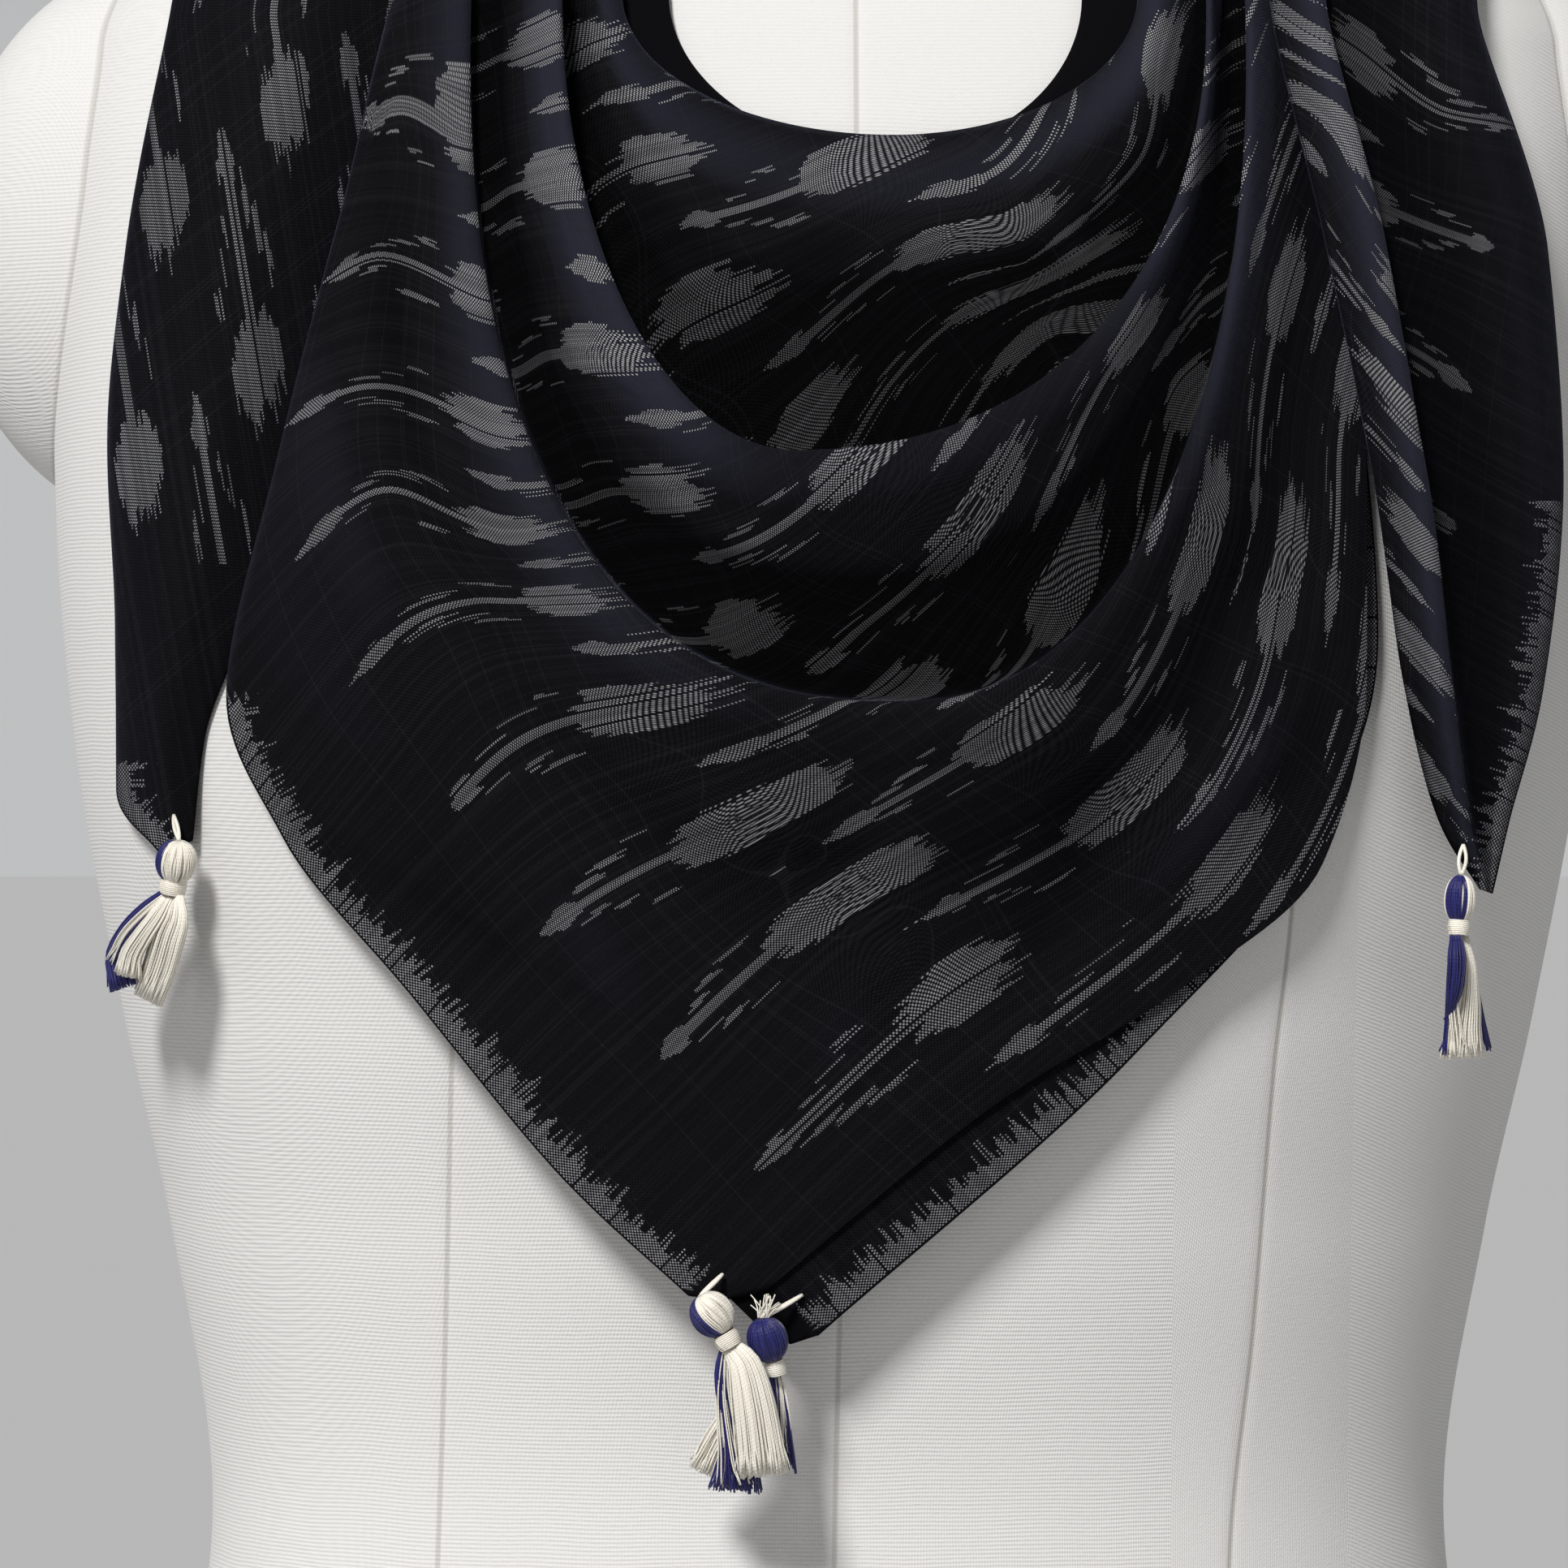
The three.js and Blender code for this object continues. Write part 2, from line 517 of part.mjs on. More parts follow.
function tailMesh(name, table, folds, mirrored) {
  const across = Array.from({ length: TAIL_ACROSS + 1 }, (_, i) => i / TAIL_ACROSS);
  const corner = table[table.length - 1].at;
  const liftAt = (share, at) => {
    const flat = Math.min(1, (corner - at) / 2);
    const height = readTable(folds, "across", share).height;
    return folds[0].height + (height - folds[0].height) * flat;
  };
  return stretchMesh(name, table, TAIL_ALONG, across, liftAt, mirrored);
}

// ---- Tassels

// A solid of revolution from a start along a direction, flattened from front to back.
function turned(name, profile, start, direction, deep, material) {
  const upward = profile.map(([radius, along]) => new THREE.Vector2(radius, -along)).reverse();
  const geometry = new THREE.LatheGeometry(upward, TASSEL_SIDES);
  geometry.scale(1, 1, deep);
  const up = direction.clone().negate();
  const depth = new THREE.Vector3(0, 1, 0).addScaledVector(up, -up.y).normalize();
  const width = up.clone().cross(depth);
  const mesh = new THREE.Mesh(geometry, material);
  mesh.name = name;
  mesh.quaternion.setFromRotationMatrix(new THREE.Matrix4().makeBasis(width, up, depth));
  mesh.position.copy(start);
  return mesh;
}

function tassel(t) {
  const top = liftedFront(t.loopX, t.loopZ, t.loopLift);
  const head = liftedFront(t.headX, t.headZ, t.headLift);
  const end = liftedFront(t.endX, t.endZ, t.endLift);
  const line = end.clone().sub(head).normalize();
  const length = end.distanceTo(head);
  const at = (distance) => head.clone().addScaledVector(line, distance);
  const headEnd = t.headHigh;
  const bindingEnd = headEnd + TASSEL_GAP + BINDING_LENGTH;

  const ball = [];
  const steps = 8;
  for (let i = 0; i <= steps; i++) {
    const turn = (Math.PI * i) / steps;
    const radius = i === 0 || i === steps ? 0 : t.headHalf * Math.sin(turn);
    ball.push([radius, -t.headHigh * Math.cos(turn)]);
  }
  const binding = [
    [0, 0],
    [t.neckHalf * 0.9, 0],
    [t.neckHalf * 1.1, BINDING_LENGTH / 2],
    [t.neckHalf * 0.9, BINDING_LENGTH],
    [0, BINDING_LENGTH],
  ];
  const skirtLength = length - bindingEnd - TASSEL_GAP;
  const skirt = [
    [0, 0],
    [t.neckHalf, 0],
    [t.neckHalf * 1.6, skirtLength * 0.2],
    [t.hemHalf * 0.85, skirtLength * 0.65],
    [t.hemHalf, skirtLength],
    [0, skirtLength],
  ];
  const deep = t.hemDeep / t.hemHalf;

  const foot = head.clone().add(new THREE.Vector3(0, 0, t.headHigh + GAP + LOOP_RADIUS));
  const bow = foot.clone().lerp(top, 0.5).add(new THREE.Vector3(0.8, -0.8, 0));
  const section = new THREE.Shape();
  section.absarc(0, 0, LOOP_RADIUS, 0, 2 * Math.PI);
  const cord = new THREE.ExtrudeGeometry(section, {
    steps: 5,
    curveSegments: 8,
    bevelEnabled: false,
    extrudePath: new THREE.QuadraticBezierCurve3(top, bow, foot),
  });
  const loop = new THREE.Mesh(cord, creamMaterial);
  loop.name = `${t.name}_loop`;

  return [
    loop,
    turned(`${t.name}_head`, ball, head, line, 1, creamMaterial),
    turned(`${t.name}_binding`, binding, at(headEnd + TASSEL_GAP), line, 1, creamMaterial),
    turned(`${t.name}_skirt`, skirt, at(bindingEnd + TASSEL_GAP), line, deep, blueMaterial),
  ];
}

// ---- The scarf on its form

const scarf = new THREE.Group();
scarf.add(
  frontLayer(),
  rearLayer(),
  wrapMesh("scarf_left_wrap", LEFT_WRAP, "left", true),
  wrapMesh("scarf_right_wrap", RIGHT_WRAP, "right", false),
  tailMesh("scarf_left_tail", LEFT_TAIL, LEFT_TAIL_FOLDS, false),
  tailMesh("scarf_right_tail", RIGHT_TAIL, RIGHT_TAIL_FOLDS, true),
);
for (const t of TASSELS) scarf.add(...tassel(t));

const wornScarf = new THREE.Group();
wornScarf.add(dressForm(), scarf);
export default wornScarf;
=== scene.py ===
"""Looks for the ikat scarf on its dress form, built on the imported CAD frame.

Lengths in the tables are millimetres in the row frame: +Z up, the wearer faces -Y. Meshes are
made in metres. A place seen in the reference frame of 1932 x 1932 is named px, py.
"""

import math

import bpy
import numpy as np
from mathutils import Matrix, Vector


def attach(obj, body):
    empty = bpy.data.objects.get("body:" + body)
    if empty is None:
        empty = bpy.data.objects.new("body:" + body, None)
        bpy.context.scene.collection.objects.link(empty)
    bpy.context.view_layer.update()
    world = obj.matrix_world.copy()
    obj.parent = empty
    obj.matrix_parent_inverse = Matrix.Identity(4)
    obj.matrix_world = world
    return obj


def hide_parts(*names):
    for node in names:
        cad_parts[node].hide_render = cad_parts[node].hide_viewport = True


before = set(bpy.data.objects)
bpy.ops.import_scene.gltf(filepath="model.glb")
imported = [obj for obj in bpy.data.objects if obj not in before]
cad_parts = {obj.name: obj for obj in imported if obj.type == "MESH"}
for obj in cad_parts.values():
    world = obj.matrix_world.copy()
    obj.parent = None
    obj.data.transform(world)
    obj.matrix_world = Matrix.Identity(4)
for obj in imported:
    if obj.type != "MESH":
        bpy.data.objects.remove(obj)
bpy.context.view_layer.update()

MM = 0.001
rng = np.random.default_rng(7)


def linked(name, data):
    """A new object in the scene."""
    made = bpy.data.objects.new(name, data)
    bpy.context.scene.collection.objects.link(made)
    return made


# ---- Camera

FRAME_SIZE = 1932
FOCAL_PX = 9900
SENSOR = 36
CAMERA_X, CAMERA_Y, CAMERA_Z = -10.5, -1925, 366

camera_data = bpy.data.cameras.new("camera")
camera_data.sensor_width = SENSOR
camera_data.lens = SENSOR * FOCAL_PX / FRAME_SIZE
camera = linked("camera", camera_data)
camera.location = (CAMERA_X * MM, CAMERA_Y * MM, CAMERA_Z * MM)
camera.rotation_euler = (math.radians(90), 0, 0)
bpy.context.scene.camera = camera


def to_frame(points):
    """Where points in millimetres fall in the camera's frame: px and py."""
    scale = FOCAL_PX / (points[..., 1] - CAMERA_Y)
    px = FRAME_SIZE / 2 + (points[..., 0] - CAMERA_X) * scale
    py = FRAME_SIZE / 2 - (points[..., 2] - CAMERA_Z) * scale
    return px, py


# ---- Smooth tables


def table(text):
    """Columns by name, from a line of names and a line of numbers for each row."""
    names, *rows = text.strip().splitlines()
    return dict(zip(names.split(), np.array([row.split() for row in rows], float).T))


def read(columns, key, values):
    """Every column at the values of its key, through all rows, with no overshoot."""
    keys = columns[key]
    clamped = np.clip(values, keys[0], keys[-1])
    i = np.clip(np.searchsorted(keys, clamped, side="right") - 1, 0, len(keys) - 2)
    span = keys[i + 1] - keys[i]
    t = (clamped - keys[i]) / span
    found = {}
    for name, column in columns.items():
        slopes = np.diff(column) / np.diff(keys)
        before, after = slopes[:-1], slopes[1:]
        same_way = before * after > 0
        total = np.where(same_way, before + after, 1)
        inner = np.where(same_way, 2 * before * after / total, 0)
        tangents = np.concatenate([slopes[:1], inner, slopes[-1:]])
        found[name] = (
            column[i] * (1 - t) ** 2 * (1 + 2 * t)
            + column[i + 1] * t * t * (3 - 2 * t)
            + span * t * (1 - t) * (tangents[i] * (1 - t) - tangents[i + 1] * t)
        )
    return found


def joined(*parts):
    """Points of their coordinates, or a map of its two values."""
    return np.stack(parts, -1)


def smoothstep(value, low, high):
    t = np.clip((value - low) / (high - low), 0, 1)
    return t * t * (3 - 2 * t)


# ---- The form, and the outline that cloth hangs on

OUTLINE_POWER = 2.3
BUST_HEIGHT = 385
HANG_SLOPE = 0.1
GATHER_HEIGHT = 548
SHOULDER_START, SHOULDER_FULL = GATHER_HEIGHT + 2, GATHER_HEIGHT + 22
LEAST_FACING = 0.55
OUTERMOST = 0.995  # of the half width, so that cloth at the very side keeps a front
STEP = 0.05
DISTANCE_ROUNDS = 14
FORM_SECTIONS = table("""
z half front back
0 160 104 118
50 168 108 126
120 158 102 112
195 147 97 96
262 157 107 98
311 168 118 103
379 180 130 110
427 184 128 114
470 185 118 115
510 184 101 110
540 179 82 99
560 166 66 86
578 134 55 74
592 98 51 66
606 73 50 60
625 60 48 56
650 56 47 53
672 55 46 52
""")
SHOULDER_STUB = {"x": 158, "y": 6, "z": 496, "length": 54, "depth": 49, "height": 68}


def outline_at(z, draped):
    own = read(FORM_SECTIONS, "z", z)
    if not draped:
        return own["half"], own["front"], own["back"]
    bust = read(FORM_SECTIONS, "z", np.array([BUST_HEIGHT], float))
    hanging = z < BUST_HEIGHT
    half = np.where(hanging, bust["half"][0], own["half"])
    front = np.where(hanging, bust["front"][0] - HANG_SLOPE * (BUST_HEIGHT - z), own["front"])
    return half, front, own["back"]


def fullness(x, y, z, draped=True):
    """1 on the outline, less inside it and more outside it."""
    half, front, back = outline_at(z, draped)
    depth = np.where(y < 0, front, back)
    total = np.abs(x / half) ** OUTLINE_POWER + np.abs(y / depth) ** OUTLINE_POWER
    return total ** (1 / OUTLINE_POWER)


def outward_slope(p):
    x, y, z = p[..., 0], p[..., 1], p[..., 2]
    return joined(
        fullness(x + STEP, y, z) - fullness(x - STEP, y, z),
        fullness(x, y + STEP, z) - fullness(x, y - STEP, z),
        fullness(x, y, z + STEP) - fullness(x, y, z - STEP),
    ) / (2 * STEP)


def set_at_distance(points, distance):
    """The points moved along the slope of the outline until they are at a distance from it."""
    p = points.copy()
    for _ in range(DISTANCE_ROUNDS):
        slope = outward_slope(p)
        steepness = np.linalg.norm(slope, axis=-1)
        now = (fullness(p[..., 0], p[..., 1], p[..., 2]) - 1) / steepness
        p += slope * ((distance - now) / steepness)[..., None]
    return p


def outline_depth(x, half, depth):
    """How far in front or behind the outline lies at x."""
    side = np.minimum(np.abs(x / half), OUTERMOST) ** OUTLINE_POWER
    return depth * (1 - side) ** (1 / OUTLINE_POWER)


def lifted_front(x, z, lift):
    """The draped outline straight behind (x, z), brought forward until it is lifted off it."""
    half, front, _ = outline_at(z, True)
    p = joined(x, -outline_depth(x, half, front), z)
    slope = outward_slope(p)
    facing = -slope[..., 1] / np.linalg.norm(slope, axis=-1)
    p[..., 1] -= lift / np.maximum(facing, LEAST_FACING)
    return p


def lifted_from_guide(guide, lift):
    """Off the front below the gathers, and off the nearest point of the form over the shoulder."""
    over = set_at_distance(guide, lift)
    share = smoothstep(guide[..., 2], SHOULDER_START, SHOULDER_FULL)
    share = np.where(guide[..., 1] > 0, 1, share)[..., None]
    front = lifted_front(guide[..., 0], guide[..., 2], lift)
    return front * (1 - share) + over * share


# ---- Meshes

CLOTH_THICKNESS = 0.5  # of the shell that shows


def mesh_object(name, points, faces, material, maps):
    """A smooth mesh of points in millimetres. maps gives each UV map at the points."""
    mesh = bpy.data.meshes.new(name)
    mesh.from_pydata(points * MM, [], faces)
    corners = np.empty(len(mesh.loops), np.int32)
    mesh.loops.foreach_get("vertex_index", corners)
    for map_name, values in maps.items():
        layer = mesh.uv_layers.new(name=map_name)
        layer.data.foreach_set("uv", values[corners].astype(np.float32).reshape(-1))
    mesh.polygons.foreach_set("use_smooth", np.ones(len(faces), bool))
    mesh.materials.append(material)
    piece = linked(name, mesh)
    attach(piece, "root")
    return piece


def grid_object(name, points, material, maps, shown=None, thickness=CLOTH_THICKNESS):
    """A shell on a grid of points. shown is False where the grid has no face."""
    rows, columns = points.shape[:2]
    index = np.arange(rows * columns).reshape(rows, columns)
    quads = joined(index[:-1, :-1], index[1:, :-1], index[1:, 1:], index[:-1, 1:])
    if shown is not None:
        quads = quads[shown]
    used, compact = np.unique(quads, return_inverse=True)
    kept_maps = {key: values.reshape(-1, 2)[used] for key, values in maps.items()}
    places = points.reshape(-1, 3)[used]
    piece = mesh_object(name, places, compact.reshape(-1, 4), material, kept_maps)
    if thickness:
        shell = piece.modifiers.new("thickness", "SOLIDIFY")
        shell.thickness = thickness * MM
        shell.offset = 0
    return piece


def stand_in(piece, slot, *nodes):
    """Hides the CAD solids that a piece takes the place of. Its slot, the look it wears, is not used.
    """
    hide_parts(*nodes)


# ---- Shader arithmetic


def connect(value, slot):
    """Feeds a shader value, a node's output or a constant into a node's input."""
    source = value.socket if isinstance(value, Value) else value
    if isinstance(source, bpy.types.NodeSocket):
        slot.id_data.links.new(source, slot)
    else:
        slot.default_value = source


def add_node(tree, kind, values=(), **named):
    """A new node: values go into its first inputs in turn, and others by name."""
    made = tree.nodes.new("ShaderNode" + kind)
    for slot, value in zip(made.inputs, values):
        connect(value, slot)
    for name, value in named.items():
        connect(value, made.inputs[name.replace("_", " ")])
    return made


def split(tree, vector):
    """The three parts of a vector, as values."""
    return [Value(tree, out) for out in add_node(tree, "SeparateXYZ", (vector,)).outputs]


def by_node(operation):
    """A method that makes a Math node of a value and the others it is given."""

    def method(self, *others):
        made = self.tree.nodes.new("ShaderNodeMath")
        made.operation = operation
        for slot, value in zip(made.inputs, (self, *others)):
            connect(value, slot)
        return Value(self.tree, made.outputs[0])

    return method


class Value:
    """A shader value: plain arithmetic on it makes the nodes."""

    def __init__(self, tree, socket):
        self.tree, self.socket = tree, socket

    __add__ = __radd__ = by_node("ADD")
    __sub__ = by_node("SUBTRACT")
    __mul__ = __rmul__ = by_node("MULTIPLY")
    __truediv__ = by_node("DIVIDE")
    __pow__ = by_node("POWER")
    root = by_node("SQRT")
    floor = by_node("FLOOR")
    abs = by_node("ABSOLUTE")
    sine = by_node("SINE")
    wrapped = by_node("FLOORED_MODULO")
    below = by_node("LESS_THAN")
    above = by_node("GREATER_THAN")
    least = by_node("MINIMUM")
    most = by_node("MAXIMUM")

    def __rsub__(self, other):
        constant = add_node(self.tree, "Value").outputs[0]
        constant.default_value = other
        return Value(self.tree, constant) - self

    def ramp(self, low, high):
        """0 at low and 1 at high, held outside."""
        made = add_node(self.tree, "MapRange", Value=self, From_Min=low, From_Max=high)
        return Value(self.tree, made.outputs["Result"])

    def chance(self, seed):
        """A steady random number for each whole value of this."""
        noise = self.tree.nodes.new("ShaderNodeTexWhiteNoise")
        noise.noise_dimensions = "1D"
        connect(self + seed, noise.inputs["W"])
        return Value(self.tree, noise.outputs["Value"])


class Shader:
    """A material's nodes round one Principled shader."""

    def __init__(self, name):
        self.material = bpy.data.materials.new(name)
        self.material.use_nodes = True
        self.tree = self.material.node_tree
        self.principled = self.tree.nodes["Principled BSDF"]

    def uv(self, name):
        source = add_node(self.tree, "UVMap")
        source.uv_map = name
        return split(self.tree, source.outputs["UV"])[:2]

    def place(self):
        """The point in millimetres, as three values."""
        source = add_node(self.tree, "TexCoord")
        return [part * (1 / MM) for part in split(self.tree, source.outputs["Object"])]

    def noise(self, x, y, z, detail=2.0, rough=0.5):
        join = add_node(self.tree, "CombineXYZ", (x, y, z))
        made = add_node(
            self.tree, "TexNoise", Vector=join.outputs[0], Scale=1.0, Detail=detail, Roughness=rough
        )
        return Value(self.tree, made.outputs["Fac"])

    def mix(self, share, first, second):
        made = self.tree.nodes.new("ShaderNodeMix")
        made.data_type = "RGBA"
        connect(share, made.inputs["Factor"])
        slots = [slot for slot in made.inputs if slot.type == "RGBA"]
        for slot, value in zip(slots, (first, second)):
            connect((*value, 1) if isinstance(value, tuple) else value, slot)
        return next(out for out in made.outputs if out.type == "RGBA")

    def set(self, **values):
        for name, value in values.items():
            connect(value, self.principled.inputs[name.replace("_", " ")])

    def bump(self, height, distance):
        made = add_node(self.tree, "Bump", Height=height, Distance=distance * MM, Strength=1.0)
        self.set(Normal=made.outputs["Normal"])


# ---- The ikat cloth

WARP_PITCH = 0.48
WEFT_PITCH = 0.39
BUNDLE = 2.1  # warp threads tied and dyed together
SLIP = 2.5  # of one bundle against the next
COLUMN_PITCH = 17.45  # weftwise, from one column of motifs to the next
FIRST_COLUMN = 20  # from the selvedge
REPEAT = 111  # warpwise, from one motif to the next in its column
FIRST_TIP = 22.5  # from the warp end
BULB_FROM_TIP = 61
BULB_HALF_LENGTH = 11.5
BULB_HALF_WIDTH = 6.7
BULB_WISPS = 8  # how far stray threads run on past the bulb
HEAD_END = 17
HEAD_HALF_WIDTH = 2.4
HEAD_TAPER, HEAD_END_TAPER = 3.4, 2  # of its ends, for a millimetre aside
STEM_START = 8
STEM_HALF_WIDTH = 1.05
DASH_START, DASH_END = 21, 39  # dashes either side of the stem, further out along it
DASH_HALF_LENGTH = 4.4
DASH_HALF_WIDTH = 0.8
DASHES_MISSING = 0.36  # share of the threads
HEM = 0.45
BEFORE_TIP = 10  # where one repeat ends and the next starts
COMB_REACH = 12  # from the edge, in which the comb is drawn
MOTIF_START = 9  # from the edge
TUFT = 1.9
THREADS_MISSING = 0.05  # share of the threads, which took the dye after all
PAINTED_SHADE_RELIEF = (-0.2, -3.6)  # relief at which the painted shade in a fold's low part starts, and is darkest
PAINTED_HIGHLIGHT_RELIEF = (0.5, 5.0)  # relief at which the painted highlight on a fold's crest starts, and is lightest
# Tone of flat cloth, how much a crest gains by painted highlight and how much a hollow loses by
# painted shade
FLAT_TONE, PAINTED_HIGHLIGHT_GAIN, PAINTED_SHADE_LOSS = 0.85, 0.5, 0.72
DOT_RIM, DOT_CORE = 0.34, 0.06  # squares of a warp dot's radius, of a thread's pitch
# The ground's own colour, then its painted shade in fold hollows and its painted navy highlight on
# fold crests
DYED = (0.0033, 0.0033, 0.0040)
GROUND_PAINTED_SHADE = (0.0004, 0.0004, 0.0005)
GROUND_PAINTED_HIGHLIGHT = (0.0180, 0.0184, 0.0305)
SLUB = (0.016, 0.016, 0.019)
WEFT_BETWEEN, UNDYED = (0.009, 0.009, 0.011), (0.35, 0.35, 0.365)


def ikat_material():
    s = Shader("ikat_cloth")
    p, q = s.uv("cloth")
    edge, along_edge = s.uv("comb")
    relief, bare = s.uv("relief")
    # The relief map paints shade into the low parts of folds and a highlight onto their crests.
    painted_shade = relief.ramp(*PAINTED_SHADE_RELIEF)
    ridge = relief.ramp(*PAINTED_HIGHLIGHT_RELIEF)
    thread = (q / WARP_PITCH).floor()
    pick = (p / WEFT_PITCH).floor()

    def stray(seed, most):
        """How far each thread's dye runs out of line."""
        return (thread.chance(seed) - 0.5) * (2 * most)

    middle = (thread + 0.5) * WARP_PITCH - FIRST_COLUMN
    column = (middle / COLUMN_PITCH + 0.5).floor()
    side = middle - column * COLUMN_PITCH
    width = side.abs()
    slip = ((q / BUNDLE).floor().chance(11) - 0.5) * SLIP
    start = FIRST_TIP + column.wrapped(2) * (REPEAT / 2) + slip
    x = (p - start + BEFORE_TIP).wrapped(REPEAT) - BEFORE_TIP

    narrowing = (1 - (width / BULB_HALF_WIDTH) ** 2).most(0).root()
    reach = narrowing * BULB_HALF_LENGTH
    wisp = thread.chance(29) ** 3 * BULB_WISPS
    bulb = x.above(stray(5, 2.6) + BULB_FROM_TIP - reach)
    bulb = bulb * x.below(reach + wisp + stray(7, 2.2) + BULB_FROM_TIP) * width.below(BULB_HALF_WIDTH)
    stem = width.below(STEM_HALF_WIDTH) * x.above(STEM_START) * x.below(BULB_FROM_TIP)
    head = x.above(width * HEAD_TAPER + stray(13, 1.4)) * width.below(HEAD_HALF_WIDTH)
    head = head * x.below(stray(19, 2.6) + HEAD_END - width * HEAD_END_TAPER)
    rung = (width / BUNDLE).floor() + 0.5
    dash_at = (rung - 1.5) / 2 * (DASH_END - DASH_START) + DASH_START + side.above(0) * SLIP
    dash = x.above(dash_at - DASH_HALF_LENGTH + stray(37, 3.6))
    dash = dash * x.below(dash_at + DASH_HALF_LENGTH + stray(43, 3.6))
    dash = dash * (width - rung * BUNDLE).abs().below(DASH_HALF_WIDTH) * rung.above(1) * rung.below(4)
    dash = dash * thread.chance(47).above(DASHES_MISSING)
    motif = bulb.most(stem).most(head).most(dash) * (p - start).above(-BEFORE_TIP)
    motif = motif * edge.above(MOTIF_START) * bare.below(0.5)

    tooth = (along_edge / WARP_PITCH).floor()
    tuft = (along_edge / TUFT).floor()
    base = s.noise(along_edge * 0.16, 0.0, 7.0, detail=2) * 6 + 1.0
    spike = tuft.chance(17) ** 3 * 3 + tooth.chance(5) ** 2 * 3.6
    kept = tooth.chance(13).above(0.35)
    comb = edge.below(base).most(edge.below(base + spike + 1) * kept) * edge.above(HEM)
    in_comb = edge.below(COMB_REACH)
    undyed = motif.most(comb) * thread.chance(23).above(THREADS_MISSING)

    def cells(along, across):
        """Warp threads showing over the weft, as staggered dots."""
        over = ((along / WEFT_PITCH).floor() + (across / WARP_PITCH).floor()).wrapped(2)
        a = (along / WEFT_PITCH).wrapped(1) - 0.5
        b = (across / WARP_PITCH).wrapped(1) - 0.5
        return over * (a * a + b * b).ramp(DOT_RIM, DOT_CORE)

    dot = cells(p, q) * (1 - in_comb) + cells(edge, along_edge) * in_comb
    fade = s.noise(p * 0.02, q * 0.02, 0.0, detail=3) * 0.5 + 0.62
    # Painted shade and painted highlight, which tone the print and the flecks of the ground
    shaded = (1 - painted_shade * PAINTED_SHADE_LOSS) * (ridge * PAINTED_HIGHLIGHT_GAIN + FLAT_TONE)
    strength = fade.most(in_comb).least(1) * (thread.chance(31) * 0.45 + 0.6) * shaded
    slub = pick.chance(41).above(0.955) * 0.3 + dot * 0.4 + thread.chance(61) ** 3 * 0.3
    speck = s.noise(p * 1.6, q * 0.9, 1.0, detail=1).ramp(0.66, 0.9)
    # The ground, darkened by painted shade in hollows and lightened by a painted navy highlight on
    # crests
    ground_with_painted_shade = s.mix(painted_shade, DYED, GROUND_PAINTED_SHADE)
    ground_with_painted_light = s.mix(ridge, ground_with_painted_shade, GROUND_PAINTED_HIGHLIGHT)
    dark = s.mix(((slub + speck) * shaded).least(1), ground_with_painted_light, SLUB)
    light = s.mix(dot, WEFT_BETWEEN, UNDYED)
    s.set(Base_Color=s.mix((undyed * strength).least(1), dark, light))

    weave = ((p * (math.pi / WEFT_PITCH)).sine() * (q * (math.pi / WARP_PITCH)).sine()) * 0.5
    crinkle = s.noise(p * 0.35, q * 0.12, 0.0, detail=4, rough=0.6)
    puckers = s.noise(p * 0.06, q * 0.09, 3.0, detail=3)
    s.bump(weave * 0.10 + crinkle * 0.7 + puckers * 1.4, 0.5)
    s.set(
        Roughness=0.85,
        Specular_IOR_Level=0.02,
        Sheen_Weight=0.075,
        Sheen_Roughness=0.42,
        Sheen_Tint=(0.42, 0.44, 0.66, 1),
    )
    return s.material


# ---- The form's cover and the tassel threads

FORM_CREAM = (0.72, 0.71, 0.695)
FORM_SHADE = (0.62, 0.61, 0.59)
SEAM_DARK = (0.42, 0.40, 0.37)
RIB, UPRIGHT = 0.95, 0.7  # of the knit, from one line to the next


def cover_material():
    s = Shader("form_cover")
    x, y, z = s.place()
    seam, armhole = s.uv("seam")
    sway = s.noise(x * 0.02, y * 0.02, z * 0.02, detail=2) * 3
    slant = x.above(0) * x.ramp(78, 120) * x * 0.45
    rib = ((z + sway + slant) * (2 * math.pi / RIB)).sine() * 0.5 + 0.5
    upright = ((x + y + sway) * (2 * math.pi / UPRIGHT)).sine() * 0.5 + 0.5
    fleck = s.noise(x * 0.5, y * 0.5, z * 2.2, detail=3)
    cloudy = s.noise(x * 0.012, y * 0.012, z * 0.012, detail=3)
    tone = (rib * 0.32 + upright * 0.1 + fleck * 0.45 + cloudy * 0.25).least(1)
    stitch = (1 - seam.ramp(0.25, 0.75)).most((1 - armhole.abs().ramp(0.3, 1.0)) * 0.6)
    shaded = s.mix(tone, FORM_SHADE, FORM_CREAM)
    s.set(Base_Color=s.mix(stitch, shaded, SEAM_DARK))
    s.bump(rib * 0.5 + upright * 0.3 + fleck * 0.5, 0.14)
    s.set(Roughness=0.9, Specular_IOR_Level=0.15, Sheen_Weight=0.12, Sheen_Roughness=0.5)
    return s.material


def thread_material(name, colour, deep_colour):
    s = Shader(name)
    along, number = s.uv("thread")
    shade = number.floor().chance(3) * 0.7
    twist = ((along * 2.4 + number * 4) * math.pi).sine() * 0.5 + 0.5
    s.set(Base_Color=s.mix((shade + twist * 0.15).least(1), deep_colour, colour))
    s.bump(twist, 0.03)
    s.set(Roughness=0.45, Specular_IOR_Level=0.4, Sheen_Weight=0.2, Sheen_Roughness=0.35)
    return s.material


ikat = ikat_material()
cover = cover_material()
THREAD_LOOKS = {
    "cream": thread_material("tassel_cream", (0.88, 0.85, 0.78), (0.74, 0.69, 0.59)),
    "blue": thread_material("tassel_blue", (0.020, 0.019, 0.17), (0.008, 0.008, 0.075)),
}

# ---- The front layer, and its two ends gathered over the shoulders

